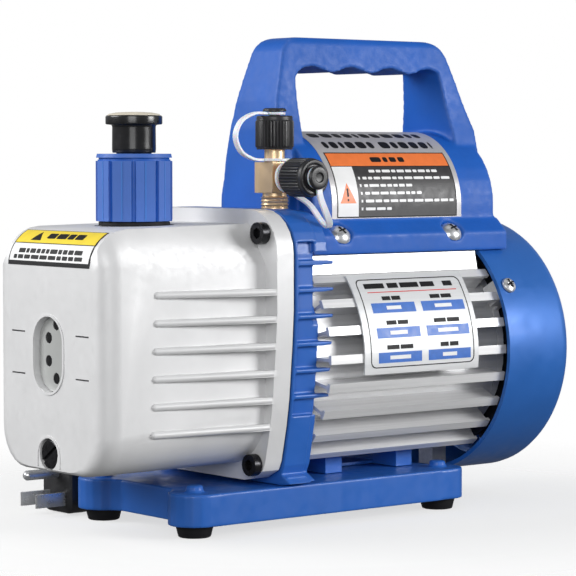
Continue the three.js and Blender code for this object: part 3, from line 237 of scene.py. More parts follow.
FINISHES = {
    "blue_paint": dict(color=(0.022, 0.126, 0.49), rough=0.38, tone=0.06, grain=0.012, grain_mm=0.9,
                       coat=0.1, shine=0.4),
    "cover_paint": dict(color=(0.024, 0.142, 0.50), rough=0.40, metal=0.2, tone=0.05, grain=0.006,
                        grain_mm=1.4, coat=0.1, shine=0.4),
    "blue_plastic": dict(color=(0.008, 0.105, 0.48), rough=0.47, tone=0.07, grain=0.03, grain_mm=0.55,
                         edge_highlight=0.14, shine=0.3),
    # Paler copy of the blue plastic: a painted highlight for the fill cap's panel ribs.
    "cap_light": dict(color=(0.05, 0.18, 0.56), rough=0.4, tone=0.06, grain=0.02),
    "cast_alloy": dict(color=(0.74, 0.74, 0.745), rough=0.46, metal=0.16, tone=0.04, grain=0.016,
                       grain_mm=0.45, edge_highlight=0.2, shine=0.4),
    "fin_alloy": dict(color=(0.78, 0.78, 0.785), rough=0.38, metal=0.35, tone=0.09, tone_mm=2.2,
                      grain=0.012, grain_mm=0.8, stretch=(0.02, 1, 1)),
    "steel": dict(color=(0.78, 0.79, 0.81), rough=0.30, metal=0.8, tone=0.08, tone_mm=4),
    "core_steel": dict(color=(0.24, 0.25, 0.27), rough=0.45, metal=0.9, tone=0.15, tone_mm=3,
                       stretch=(8, 1, 1)),
    "copper": dict(color=(0.55, 0.21, 0.08), rough=0.35, metal=0.9, tone=0.2, tone_mm=1.4, grain=0.1,
                   grain_mm=0.9),
    "brass": dict(color=(0.84, 0.62, 0.38), rough=0.34, metal=0.8, tone=0.03, tone_mm=6,
                  rough_spread=0.04),
    "black_plastic": dict(color=(0.016, 0.016, 0.018), rough=0.36, tone=0.2, grain=0.01, grain_mm=0.6),
    "gloss_black": dict(color=(0.008, 0.008, 0.009), rough=0.22, tone=0.2, rough_spread=0.04, coat=0.2),
    "black_rubber": dict(color=(0.006, 0.006, 0.008), rough=0.62, tone=0.25, grain=0.03, grain_mm=0.7,
                         shine=0.3),
    "black_oxide": dict(color=(0.022, 0.022, 0.025), rough=0.30, metal=0.7, tone=0.25, tone_mm=3),
    "white_plastic": dict(color=(0.82, 0.84, 0.90), rough=0.34, tone=0.04, tone_mm=5, sheen_through=0.35),
    "cream_plastic": dict(color=(0.72, 0.66, 0.54), rough=0.45, tone=0.04, tone_mm=5),
    "gasket": dict(color=(0.06, 0.045, 0.035), rough=0.8, tone=0.25, tone_mm=1.5, grain=0.05,
                   grain_mm=0.5),
    "window": dict(color=(0.46, 0.47, 0.46), rough=0.16, tone=0.08, rough_spread=0.05, coat=0.5),
    "nameplate": dict(color=(0.70, 0.71, 0.72), rough=0.42, metal=0.2, tone=0.04, tone_mm=1.2,
                      stretch=(0.05, 1, 1)),
    "print_black": dict(color=(0.008, 0.008, 0.009), rough=0.5, tone=0.2, tone_mm=2, shine=0.25),
    "print_grey": dict(color=(0.028, 0.027, 0.029), rough=0.42, tone=0.12, tone_mm=3),
    "print_blue": dict(color=(0.035, 0.155, 0.56), rough=0.4, tone=0.08, tone_mm=3),
    "print_red": dict(color=(0.62, 0.05, 0.05), rough=0.4, tone=0.1, tone_mm=3),
    "print_orange": dict(color=(0.86, 0.20, 0.045), rough=0.38, tone=0.05, tone_mm=5),
    "print_yellow": dict(color=(0.92, 0.70, 0.045), rough=0.38, tone=0.05, tone_mm=5),
    "print_white": dict(color=(0.86, 0.86, 0.86), rough=0.38, tone=0.03, tone_mm=5),
    "print_silver": dict(color=(0.50, 0.49, 0.50), rough=0.36, metal=0.25, tone=0.05, tone_mm=4),
}
LOOKS = {name: surface(name, **finish) for name, finish in FINISHES.items()}


# ---------------------------------------------------------------- pieces from the CAD solids
def smooth_group():
    """Node group that shades smooth but keeps edges over 33 degrees sharp."""
    group = bpy.data.node_groups.new("smooth_by_angle", "GeometryNodeTree")
    group.interface.new_socket("Geometry", in_out="INPUT", socket_type="NodeSocketGeometry")
    group.interface.new_socket("Geometry", in_out="OUTPUT", socket_type="NodeSocketGeometry")
    nodes, links = group.nodes, group.links
    start, end = nodes.new("NodeGroupInput"), nodes.new("NodeGroupOutput")
    faces, edges = nodes.new("GeometryNodeSetShadeSmooth"), nodes.new("GeometryNodeSetShadeSmooth")
    edges.domain = "EDGE"
    edges.inputs["Shade Smooth"].default_value = False
    angle = nodes.new("GeometryNodeInputMeshEdgeAngle")
    sharp = nodes.new("FunctionNodeCompare")
    sharp.inputs["B"].default_value = math.radians(33)
    links.new(angle.outputs["Unsigned Angle"], sharp.inputs["A"])
    links.new(sharp.outputs["Result"], edges.inputs["Selection"])
    links.new(start.outputs[0], faces.inputs[0])
    links.new(faces.outputs[0], edges.inputs[0])
    links.new(edges.outputs[0], end.inputs[0])
    return group


SMOOTH = smooth_group()


def shade(piece):
    piece.modifiers.new("smooth", "NODES").node_group = SMOOTH


def polish(node, look, width):
    """Gives a CAD node its finish, with its sharp edges broken by a small round."""
    piece = NODES[node]
    mesh = piece.data
    if "custom_normal" in mesh.attributes:
        mesh.attributes.remove(mesh.attributes["custom_normal"])
    mesh.materials.clear()
    mesh.materials.append(LOOKS[look])
    weld = piece.modifiers.new("weld", "WELD")
    weld.merge_threshold = 0.01 * MM
    if width:
        flat = piece.modifiers.new("flat", "DECIMATE")
        flat.decimate_type = "DISSOLVE"
        flat.angle_limit = math.radians(0.5)
        bevel = piece.modifiers.new("bevel", "BEVEL")
        bevel.width = width * MM
        bevel.segments = 2
        bevel.limit_method = "ANGLE"
        bevel.angle_limit = math.radians(35)
    shade(piece)
    if width:
        even = piece.modifiers.new("even", "WEIGHTED_NORMAL")
        even.keep_sharp = True


def soften(name, node, look, voxel, passes, keep):
    """A moulded or cast copy of a CAD node: remeshed, relaxed and thinned, so every edge is round."""
    mesh = NODES[node].data.copy()
    piece = bpy.data.objects.new(name, mesh)
    bpy.context.scene.collection.objects.link(piece)
    mesh.materials.clear()
    weld = piece.modifiers.new("weld", "WELD")
    weld.merge_threshold = 0.01 * MM
    remesh = piece.modifiers.new("remesh", "REMESH")
    remesh.mode = "VOXEL"
    remesh.voxel_size = voxel * MM
    relax = piece.modifiers.new("relax", "SMOOTH")
    relax.factor = 0.5
    relax.iterations = passes
    thin = piece.modifiers.new("thin", "DECIMATE")
    thin.ratio = keep
    done = bpy.data.meshes.new_from_object(piece.evaluated_get(bpy.context.evaluated_depsgraph_get()))
    piece.modifiers.clear()
    piece.data = done
    for attribute in ("custom_normal", "sharp_face", "sharp_edge"):
        if attribute in done.attributes:
            done.attributes.remove(done.attributes[attribute])
    done.shade_smooth()
    done.materials.clear()
    done.materials.append(LOOKS[look])
    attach(piece, NODES[node]["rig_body"])
    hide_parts(node)


# ---------------------------------------------------------------- pieces from scratch, in millimetres
SHAFT_Z = 75.7
FILL_CAP_X = -85.4
TEE_X = -26
TEE_Y = -27
SIDE_PORT_Z = 159.3


def numbered(stem, count):
    return [f"{stem}_{i + 1}" for i in range(count)]


def build(name, verts, faces, look, slot=None, body="pump", replaces=(), smooth=True):
    mesh = bpy.data.meshes.new(name)
    mesh.from_pydata([Vector(v) * MM for v in verts], [], faces)
    work = bmesh.new()
    work.from_mesh(mesh)
    bmesh.ops.recalc_face_normals(work, faces=work.faces)
    work.to_mesh(mesh)
    work.free()
    mesh.materials.append(LOOKS[look])
    piece = bpy.data.objects.new(name, mesh)
    bpy.context.scene.collection.objects.link(piece)
    if smooth:
        shade(piece)
    if body:
        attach(piece, body)
    if replaces:
        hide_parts(*replaces)
    return piece


def frame_of(axis):
    """Rotation that takes local Z to the axis."""
    return Vector((0, 0, 1)).rotation_difference(Vector(axis)).to_matrix()


def lathe(profile, axis, point, segments=64, teeth=None):
    """Closed solid of revolution from [radius, position] points; teeth is (count, depth, from, to)."""
    turn = frame_of(axis)
    verts, faces, rows = [], [], []
    for r, t in profile:
        if r < 1e-6:
            rows.append([len(verts)])
            verts.append(turn @ Vector((0, 0, t)) + Vector(point))
            continue
        row = []
        for i in range(segments):
            angle = 2 * math.pi * i / segments
            radius = r
            if teeth and teeth[2] <= t <= teeth[3]:
                wave = 0.5 - 0.5 * math.cos(angle * teeth[0])
                radius = r - teeth[1] * wave ** 3
            row.append(len(verts))
            spot = Vector((radius * math.cos(angle), radius * math.sin(angle), t))
            verts.append(turn @ spot + Vector(point))
        rows.append(row)
    for a, b in zip(rows, rows[1:]):
        for i in range(segments):
            j = (i + 1) % segments
            if len(a) == 1 and len(b) > 1:
                faces.append((a[0], b[i], b[j]))
            elif len(b) == 1 and len(a) > 1:
                faces.append((a[i], a[j], b[0]))
            elif len(a) > 1:
                faces.append((a[i], a[j], b[j], b[i]))
    return verts, faces


def loft(sections):
    """Closed skin over two or more sections with equally many points."""
    size = len(sections[0])
    verts = [v for section in sections for v in section]
    faces = [tuple(range(size))[::-1], tuple(len(verts) - size + i for i in range(size))]
    for s in range(0, len(verts) - size, size):
        faces += [(s + i, s + (i + 1) % size, s + size + (i + 1) % size, s + size + i) for i in range(size)]
    return verts, faces


def joined(parts):
    """The points and faces of several solids as one."""
    verts, faces = [], []
    for more, more_faces in parts:
        shift = len(verts)
        verts += more
        faces += [tuple(shift + i for i in f) for f in more_faces]
    return verts, faces


def rounded(points, radius, steps=4):
    """Rounds the inner corners of an open [u, v] line."""
    result = [points[0]]
    for before, here, after in zip(points, points[1:], points[2:]):
        here = Vector(here)
        back, ahead = Vector(before) - here, Vector(after) - here
        reach = min(radius, back.length * 0.45, ahead.length * 0.45)
        start, end = here + back.normalized() * reach, here + ahead.normalized() * reach
        for i in range(steps + 1):
            k = i / steps
            result.append(tuple((1 - k) ** 2 * start + 2 * k * (1 - k) * here + k * k * end))
    return result + [points[-1]]


def arc(cx, cy, r, start, end, steps):
    """Points on a circle, from one angle to another in degrees."""
    return [
        (cx + r * math.cos(math.radians(start + (end - start) * i / steps)),
         cy + r * math.sin(math.radians(start + (end - start) * i / steps)))
        for i in range(steps + 1)
    ]


def rectangle(u0, u1, v0, v1, radius=0.0):
    if not radius:
        return [(u0, v0), (u1, v0), (u1, v1), (u0, v1)]
    left, right = u0 + radius, u1 - radius
    low, high = v0 + radius, v1 - radius
    return (arc(right, low, radius, -90, 0, 4) + arc(right, high, radius, 0, 90, 4)
            + arc(left, high, radius, 90, 180, 4) + arc(left, low, radius, 180, 270, 4))


def decal(name, shapes, place, look, low, high, step=2.0, slot="nameplate"):
    """Thin prints on a curved face: [u, v] outlines, with holes, between two heights over it."""
    work = bmesh.new()
    for shape in shapes:
        loops = shape if isinstance(shape[0][0], (list, tuple)) else [shape]
        edges = []
        for loop in loops:
            verts = [work.verts.new((u, v, 0)) for u, v in loop]
            edges += [work.edges.new((a, b)) for a, b in zip(verts, verts[1:] + verts[:1])]
        bmesh.ops.triangle_fill(work, edges=edges, use_beauty=True, use_dissolve=False)
    heights = [v.co.y for v in work.verts]
    cut = min(heights) + step
    while cut < max(heights) - 1e-3:
        geometry = work.verts[:] + work.edges[:] + work.faces[:]
        bmesh.ops.bisect_plane(work, geom=geometry, plane_co=(0, cut, 0), plane_no=(0, 1, 0), dist=1e-5)
        cut += step
    for v in work.verts:
        v.co.z = low
    grown = bmesh.ops.extrude_face_region(work, geom=work.faces[:])
    for v in [g for g in grown["geom"] if isinstance(g, bmesh.types.BMVert)]:
        v.co.z = high
    verts = [place(*v.co) for v in work.verts]
    work.verts.index_update()
    faces = [[v.index for v in f.verts] for f in work.faces]
    work.free()
    return build(name, verts, faces, look, slot=slot)


def text_bars(u0, u1, v0, v1, gap=0.9):
    """A line of plain bars of uneven length, where small print would stand."""
    bars, u = [], u0
    while u < u1 - 1.2:
        end = min(u + rng.uniform(2.2, 6.5), u1)
        bars.append(rectangle(u, end, v0, v1, (v1 - v0) * 0.3))
        u = end + gap
    return bars


# ---------------------------------------------------------------- mains lead
CORD_R = 3.5
EXIT = (72, 60, 147.2)
DROP = [
    (72, 33, 147.5), (72, 45, 147.5), EXIT, (72.6, 72, 143.8), (74, 82, 134.5), (76.4, 87.6, 120),
    (79.4, 89.6, 102), (83, 90.6, 82), (86.6, 92.6, 62), (89.8, 96.6, 45),
    (92.4, 103.6, 30.5), (94, 112.6, 21.2),
]
TAIL = [
    (9.5, 98, 3.6), (8.6, 90, 3.6), (4, 80.6, 3.6), (-5, 73.4, 3.6), (-16, 69, 4.6), (-28, 66, 7.6),
    (-38, 64.7, 11), (-45, 64.5, 12.8), (-52, 64.5, 13),
]
COIL = {
    "x": 52,
    "y": 124,
    "radii": (42.5, 35.5, 28.5, 28.5, 35.5, 42.5),
    "turns": 5.5,
    "high": 10.5,
    "low": 3.5,
    "start": 17.6,
}
POINTS_PER_TURN = 24
SHIFT_FROM = 0.83
SHIFT_SHARE = 0.17


def ease(k):
    """Smooth step from 0 to 1."""
    k = min(1, max(0, k))
    return k * k * (3 - 2 * k)


def coil_points():
    """Three turns inwards on top, then two and a half outwards below; each shifts in its last sixth."""
    points = []
    for i in range(int(COIL["turns"] * POINTS_PER_TURN) + 1):
        turn, part = divmod(i / POINTS_PER_TURN, 1)
        turn = int(turn)
        late = min(1, max(0, (part - SHIFT_FROM) / SHIFT_SHARE))
        r = COIL["radii"][turn]
        ahead = COIL["radii"][min(turn + 1, 5)]
        z = COIL["high"] if turn < 3 else COIL["low"]
        if turn == 0:
            z += (COIL["start"] - z) * (1 - ease(part / 0.42))
        if turn == 2:
            z += (COIL["low"] - z) * ease(late)
            r -= 2.4 * math.sin(math.pi * late)
        else:
            r += (ahead - r) * ease(late)
        angle = 2 * math.pi * part
        points.append((COIL["x"] + r * math.cos(angle), COIL["y"] + r * math.sin(angle), z))
    return points


def route_curve(name, points, radius, look):
    data = bpy.data.curves.new(name, "CURVE")
    data.dimensions = "3D"
    data.bevel_depth = radius * MM
    data.bevel_resolution = 4
    data.resolution_u = 4
    data.use_fill_caps = True
    spline = data.splines.new("BEZIER")
    spline.bezier_points.add(len(points) - 1)
    for knot, point in zip(spline.bezier_points, points):
        knot.co = Vector(point) * MM
        knot.handle_left_type = knot.handle_right_type = "AUTO"
    data.materials.append(LOOKS[look])
    piece = bpy.data.objects.new(name, data)
    bpy.context.scene.collection.objects.link(piece)
    return piece


PLUG_Y = 64.5
PLUG_Z = 13
PLUG_FACE_X = -84
BLADE_GAP = 12.7
# Place along X, half width, half height and corner radius of the plug body's sections.
PLUG_SECTIONS = [
    (-85, 11.2, 11.4, 5), (-84.4, 12.2, 12.3, 5), (-83, 12.5, 12.6, 5), (-76, 12.5, 12.6, 5),
    (-74, 12.4, 12.5, 5), (-70, 11.0, 11.6, 5), (-67, 9.9, 10.7, 5), (-64, 7.6, 8.0, 5),
    (-62.6, 6.4, 6.4, 5.2), (-61, 5.9, 5.9, 5.2), (-59.4, 6.0, 6.0, 5.2),
    (-59, 5.0, 5.0, 4.6), (-58, 5.0, 5.0, 4.6),
    (-57.6, 5.7, 5.7, 5), (-56.2, 5.6, 5.6, 5), (-55.8, 4.6, 4.6, 4.4), (-54.8, 4.6, 4.6, 4.4),
    (-54.4, 5.2, 5.2, 4.9), (-52.8, 5.0, 5.0, 4.7), (-52.2, 3.9, 3.9, 3.7),
]


def mains_plug():
    """The plug's moulded body with grip ribs, and its three prongs, on the lead's far end."""
    sections = []
    for x, half_w, half_h, r in PLUG_SECTIONS:
        outline = rectangle(-half_w, half_w, -half_h, half_h, r)
        sections.append([(x, PLUG_Y + u, PLUG_Z + v) for u, v in outline])
    body = build("plug_body", *loft(sections), "black_plastic", replaces=["mains_plug"])
    parts = []
    for y in (PLUG_Y - BLADE_GAP / 2, PLUG_Y + BLADE_GAP / 2):
        low, high = y - 0.8, y + 0.8
        outline = [(PLUG_FACE_X, low), (PLUG_FACE_X, high), (-99.6, high), (-101, high - 0.45),
                   (-101, low + 0.45), (-99.6, low)]
        parts.append(loft([[(u, v, z) for u, v in outline] for z in (PLUG_Z - 8.8, PLUG_Z - 2.4)]))
    pin = rounded([(0, 0), (2.4, 0), (2.4, 18), (1.2, 19.4), (0, 19.5)], 0.5)
    parts.append(lathe(pin, (-1, 0, 0), (PLUG_FACE_X, PLUG_Y, PLUG_Z + 6.2), 32))
    prongs = build("plug_prongs", *joined(parts), "steel")
    return body, prongs


def mains_lead():
    plug, prongs = mains_plug()
    points = DROP + coil_points() + TAIL
    lead = route_curve("mains_cord", points, CORD_R, "black_rubber")
    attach(lead, "pump")
    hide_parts("cord_drop", "cord_coil", "cord_tail")
    # The strain relief: a collar on the handle, then a ribbed sleeve that tapers towards the lead.
    profile = [(3.6, 29), (5.4, 29), (5.4, 35.2), (8, 35.3), (8, 37.6), (7.2, 38.6)]
    y = 39.4
    while y < 58:
        r = 6.8 - 1.9 * (y - 39) / 19
        profile += [(r, y), (r, y + 1.5), (r - 0.8, y + 1.9), (r - 0.8, y + 2.9)]
        y += 3.1
    profile += [(4.5, 59.6), (3.6, 60), (3.6, 29)]
    verts, faces = lathe(profile, (0, 1, 0), (72, 0, 147.5), 40)
    build("cord_relief", verts, faces, "black_rubber", replaces=["cord_gland"])


mains_lead()

# ---------------------------------------------------------------- moulded and cast bodies
soften("handle_body", "handle", "blue_plastic", 0.75, 13, keep=0.4)
soften("bracket_body", "end_bracket", "blue_paint", 0.5, 2, keep=0.35)
soften("base_body", "base_plate", "blue_paint", 0.7, 4, keep=0.4)

POLISHED = {
    "blue_plastic": ["fill_cap"],
    "cover_paint": ["fan_cover"],
    "cast_alloy": ["oil_tank"],
    "fin_alloy": ["motor_housing", "rear_end_shield"],
    "steel": ["front_bearing", "rear_bearing", "motor_shaft", "pump_rotor", *numbered("handle_screw", 4),
              *numbered("fan_cover_screw", 3)],
    "core_steel": ["stator_core", "rotor_core", "pump_stator", "pump_end_cover", "pump_flange"],
    "copper": ["stator_winding"],
    "brass": ["intake_tee"],
    "black_plastic": ["cooling_fan", "capacitor", "switch_frame", "rocker", "vane_right", "vane_left"],
    "blue_paint": ["housing_mount"],
    "black_rubber": ["shaft_seal", "fill_cap_seal", "drain_seal", "top_cap_seal", "side_cap_seal"],
    "black_oxide": [*numbered("tank_screw", 4), "drain_plug"],
    "gasket": ["tank_gasket"],
    "window": ["sight_glass"],
    "nameplate": ["nameplate"],
}
# Width of the round on a piece's sharp edges, in millimetres, where it isn't the usual one.
USUAL_WIDTH = 0.22
WIDTHS = {"fan_cover": 0, "oil_tank": 0.9, "fill_cap": 0.35, "motor_housing": 0.18, "nameplate": 0.12,
          "tank_gasket": 0.1, "stator_winding": 0.6, "intake_tee": 0.3, "sight_glass": 0.2,
          "cooling_fan": 0.2}
for look, names in POLISHED.items():
    for node in names:
        polish(node, look, WIDTHS.get(node, USUAL_WIDTH))


# ---------------------------------------------------------------- feet
def feet():
    for side, y in (("left", 35.35), ("right", -35.35)):
        for end, x in (("front", -78.2), ("rear", 67.2)):
            line = [(0, 0.6), (4.2, 0.6), (4.4, 0), (7.2, 0), (8.6, 5.35), (0, 5.35)]
            verts, faces = lathe(rounded(line, 0.7), (0, 0, 1), (x, y, 0), 48)
            build(f"foot_pad_{end}_{side}", verts, faces, "black_rubber", replaces=[f"foot_{end}_{side}"])


feet()


# ---------------------------------------------------------------- knurled flare caps and exhaust plug
def knurled_cap(name, node, base, end, axis, point, body):
    """A cap with fine grooves along its barrel, a stepped ring and a small knob on its closed end."""
    length = end - base
    line = [
        (5.9, 0), (8.2, 0), (8.2, 0.7), (8.8, 1.3), (8.8, length - 2.6), (8.3, length - 2.0),
        (8.3, length - 0.5), (7.8, length), (6.4, length), (6.2, length - 0.8),
        (5.0, length - 0.8), (4.9, length), (2.4, length),
        (2.4, length + 1.9), (5.4, length + 1.9), (5.4, length + 2.7), (4.7, length + 3.4),
        (2.2, length + 3.5), (2.0, length + 2.9), (0, length + 2.9),
    ]
    inside = [(0, 10.4), (5.9, 10.4), (5.9, 0)]
    verts, faces = lathe(inside + rounded(line, 0.3, 3)[1:], axis, Vector(point) + Vector(axis) * base, 216,
                         teeth=(36, 0.55, 1.2, length - 2.5))
    build(name, verts, faces, "black_plastic", body=body, replaces=[node])


knurled_cap("top_cap_body", "top_cap", 171.9, 187.3, (0, 0, 1), (TEE_X, TEE_Y, 0), "top_flare_cap")
knurled_cap("side_cap_body", "side_cap", 40, 56, (0, -1, 0), (TEE_X, 0, SIDE_PORT_Z), "side_flare_cap")


def exhaust_plug():
    line = [(0, 158), (7.9, 158), (7.9, 170.4), (9.7, 170.4), (9.9, 172), (9.8, 182.2), (10.1, 182.9),
            (12.6, 183.2), (12.8, 183.6), (12.8, 186.7), (12.4, 187.2), (0, 187.2)]
    verts, faces = lathe(rounded(line, 0.35), (0, 0, 1), (FILL_CAP_X, 0, 0), 72)
    build("exhaust_body", verts, faces, "gloss_black", slot="black_plastic", body="exhaust_cap",
          replaces=["exhaust_plug"])
    dome = [(0, 187), (11.9, 187), (11.9, 187.4), (11.2, 187.9), (8, 188.5), (4, 188.7), (0, 188.8)]
    verts, faces = lathe(dome, (0, 0, 1), (FILL_CAP_X, 0, 0))
    build("exhaust_disc", verts, faces, "cream_plastic", slot="white_plastic", body="exhaust_cap")


exhaust_plug()


def cap_ribs():
    """Fine raised ribs between the fill cap's ten panels, in a paler blue that paints the highlight along the
    panel edges.
    """
    parts = []
    for i in range(10):
        angle = math.radians(i * 36)
        out = Vector((math.cos(angle), math.sin(angle), 0))
        across = Vector((-math.sin(angle), math.cos(angle), 0))
        corners = [out * r + across * w
                   for r, w in ((16.1, 0.6), (16.1, -0.6), (17.25, -0.35), (17.25, 0.35))]
        parts.append(loft([[Vector((FILL_CAP_X, 0, z)) + c for c in corners] for z in (140.4, 166.6)]))
    build("fill_cap_ribs", *joined(parts), "cap_light", slot="blue_plastic", body="fill_cap_body")


cap_ribs()


# ---------------------------------------------------------------- white straps from the tee to its caps
def smooth_line(points, steps):
    """Catmull-Rom line through the points."""
    padded = [2 * Vector(points[0]) - Vector(points[1])] + [Vector(p) for p in points]
    padded.append(2 * padded[-1] - padded[-2])
    line = []
    for a, b, c, d in zip(padded, padded[1:], padded[2:], padded[3:]):
        for i in range(steps):
            k = i / steps
            line.append(0.5 * (2 * b + (c - a) * k + (2 * a - 5 * b + 4 * c - d) * k * k
                               + (3 * b - a - 3 * c + d) * k ** 3))
    line.append(padded[-2])
    return line


STRAP_SECTION = [(0.5, 0.32), (0.42, 0.5), (-0.42, 0.5), (-0.5, 0.32), (-0.5, -0.32), (-0.42, -0.5),
                 (0.42, -0.5), (0.5, -0.32)]
STRAP_WIDTH = 3.1
STRAP_THICKNESS = 1.25


def strap_ring(direction, point, middle, inner):
    """The eye that holds a strap's end, round a cap's knob or the tee's neck."""
    half = [(inner, -0.4), (inner + 0.25, -0.65), (inner + 1.75, -0.65), (inner + 2, -0.4)]
    line = [(r, middle + t) for r, t in half] + [(r, middle - t) for r, t in half[::-1]]
    return lathe(line + line[:1], direction, point, 48)


def strap(name, node, points, width_axis, rings):
    """A flat strap along a smooth line from start to end, with a ring at each end."""
    line = smooth_line(points, 6)
    axis = Vector(width_axis)
    sections = []
    for i, here in enumerate(line):
        tangent = (line[min(i + 1, len(line) - 1)] - line[max(i - 1, 0)]).normalized()
        across = (axis - tangent * axis.dot(tangent)).normalized()
        through = tangent.cross(across)
        sections.append([here + across * u * STRAP_WIDTH + through * v * STRAP_THICKNESS
                         for u, v in STRAP_SECTION])
    parts = [loft(sections)] + [strap_ring(*ring) for ring in rings]
    piece = build(name, *joined(parts), "white_plastic", body=None, replaces=[node])
    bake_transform(piece)


def top_strap():
    route = [(-4.4, 188.3), (-12, 188.2), (-19.5, 184.6), (-22.6, 177.8), (-19.5, 171),
             (-12.5, 167.6), (-6.2, 167.2)]
    up, foot = (0, 0, 1), (TEE_X, TEE_Y, 0)
    strap("top_strap", "top_tether", [(TEE_X + dx, TEE_Y, z) for dx, z in route], (0, 1, 0),
          [(up, foot, 188.3, 3), (up, foot, 167.2, 5.1)])


def side_strap():
    route = [(1.5, -57, 155.4), (2.2, -57.1, 150.6), (5.8, -56.4, 144), (10.6, -53.4, 138.8),
             (12.6, -49.8, 136.8), (12, -46, 139.4), (8.8, -41.8, 146.6), (4, -38.2, 151), (1.8, -36.4, 154)]
    out, foot = (0, -1, 0), (TEE_X, 0, SIDE_PORT_Z)
    strap("side_strap", "side_tether", [(TEE_X + dx, y, z) for dx, y, z in route], (1, 0, 0),
          [(out, foot, 57, 3), (out, foot, 36.4, 5.1)])


top_strap()
side_strap()


# ---------------------------------------------------------------- prints
HUMP_R = 35
HUMP_Z = 145.5
HUMP_FOOT_Z = 138.5


def on_hump(u, v, w):
    """u along X, v up the handle's side and round its barrel, w off the surface."""
    r, low = HUMP_R + w, HUMP_Z - HUMP_FOOT_Z
    if v < low:
        return (u, -r, HUMP_FOOT_Z + v)
    angle = (v - low) / HUMP_R
    return (u, -r * math.cos(angle), HUMP_Z + r * math.sin(angle))


def hump_v(degrees):
    """v of a place so many degrees round the barrel."""
    return HUMP_Z - HUMP_FOOT_Z + HUMP_R * math.radians(degrees)


def hump_label():
    """Two lines of title over a warning with its heading band, its sign and five items."""
    over = hump_v(104)
    low, high = hump_v(32.3), hump_v(44.5)
    left, right, split, foot = 5.2, 79.0, 17.6, 2.3
    decal("warning_field", [rectangle(1.5, 82.5, 0, over, 1.6)], on_hump, "print_silver", -0.15, 0.10)
    border = [rectangle(4.6, 79.6, 1.7, high + 0.6), rectangle(left, right, foot, high)]
    rule = rectangle(left, right, low - 0.35, low)
    decal("warning_border", [border, rule], on_hump, "print_black", 0.05, 0.16)
    decal("warning_band", [rectangle(left, right, low, high)], on_hump, "print_orange", 0.05, 0.15)
    decal("warning_side", [rectangle(left, split, foot, low - 0.35)], on_hump, "print_white", 0.05, 0.15)
    decal("warning_panel", [rectangle(split, right, foot, low - 0.35)], on_hump, "print_grey", 0.05, 0.15)
    middle = (low + foot) * 0.45
    decal("warning_sign", [[(6.6, middle - 4.6), (16.2, middle - 4.6), (11.4, middle + 5.0)]], on_hump,
          "print_orange", 0.1, 0.2)
    mark = [rectangle(10.9, 11.9, middle - 1.6, middle + 2.4, 0.4),
            rectangle(10.9, 11.9, middle - 3.6, middle - 2.5, 0.4)]
    decal("warning_mark", mark, on_hump, "print_black", 0.15, 0.25)
    lines = text_bars(27, 70, low - 3.5, low - 2.1)
    for i, reach in enumerate((77, 52, 58, 77.5, 38)):
        v = low - 7.0 - i * 3.65
        lines += [rectangle(19.4, 20.4, v, v + 1.3)] + text_bars(22, reach, v, v + 1.3)
    decal("warning_lines", lines, on_hump, "print_white", 0.1, 0.2)
    decal("warning_heading", text_bars(31, 52, low + 2.2, high - 2.4, 1.4), on_hump, "print_black", 0.1, 0.2)
    title = text_bars(8, 39, high + 3.6, high + 8.8, 1.5) + text_bars(43, 76, high + 3.6, high + 8.8, 1.5)
    title += text_bars(6, 76, high + 13.2, high + 18.4, 1.6)
    decal("title_bars", title, on_hump, "print_black", 0.05, 0.16)


hump_label()

PLATE = {"x0": 1.2, "x1": 72, "top": 40.5, "bottom": -6.5, "r": 59.1, "wide": 70.8, "tall": 48.5}
FLUSH = {"low": -0.08, "high": 0.08, "step": 0.04}
RAISED = {"low": 0.02, "high": 0.12, "step": 0.04}


def on_plate(u, v, w):
    """u and v as shares of the nameplate's width and height, from its upper left corner."""
    angle = math.radians(PLATE["top"] + (PLATE["bottom"] - PLATE["top"]) * v)
    r = PLATE["r"] + w
    x = PLATE["x0"] + (PLATE["x1"] - PLATE["x0"]) * u
    return (x, -r * math.cos(angle), SHAFT_Z + r * math.sin(angle))


def plate_outline(left, top, wide, tall, radius):
    """A rectangle given in shares of the nameplate, with corners that are round on it."""
    outline = rectangle(0, PLATE["wide"], 0, PLATE["tall"], radius)
    return [(left + wide / PLATE["wide"] * u, top + tall / PLATE["tall"] * v) for u, v in outline]


def nameplate_prints():
    """A border, a title over a rule, and three rows of two captioned value boxes."""
    border = [plate_outline(0.05, 0.055, 0.908, 0.885, 3.4), plate_outline(0.0565, 0.0645, 0.895, 0.866, 3.2)]
    decal("plate_border", [border], on_plate, "print_black", **FLUSH)
    decal("plate_rule", [rectangle(0.12, 0.90, 0.197, 0.206)], on_plate, "print_red", **FLUSH)
    words = ((0.11, 0.28), (0.31, 0.40), (0.42, 0.58), (0.60, 0.72), (0.80, 0.88))
    title = [rectangle(u0, u1, 0.105, 0.16) for u0, u1 in words]
    decal("plate_title", title, on_plate, "print_black", **FLUSH)
    boxes, captions, values = [], [], []
    for row, v in enumerate((0.315, 0.560, 0.795)):
        for column, (u0, u1) in enumerate(((0.117, 0.49), (0.55, 0.925))):
            boxes.append(rectangle(u0, u1, v, v + 0.10))
            span = (u1 - u0) * (0.42, 0.5, 0.6)[(row + column) % 3] / 2
            centre = (u0 + u1) / 2
            captions += [rectangle(centre - span, centre - 0.008, v - 0.068, v - 0.027),
                         rectangle(centre + 0.004, centre + span, v - 0.068, v - 0.027)]
            values.append(rectangle(centre - span * 0.8, centre + span * 0.8, v + 0.032, v + 0.068))
    decal("plate_boxes", boxes, on_plate, "print_blue", **FLUSH)
    decal("plate_captions", captions, on_plate, "print_black", **FLUSH)
    decal("plate_values", values, on_plate, "print_white", **RAISED)


nameplate_prints()


TANK_FRONT_X = -132
SHOULDER = {"x": -114, "z": 120, "forward": 18, "up": 17, "slope": 0.34}


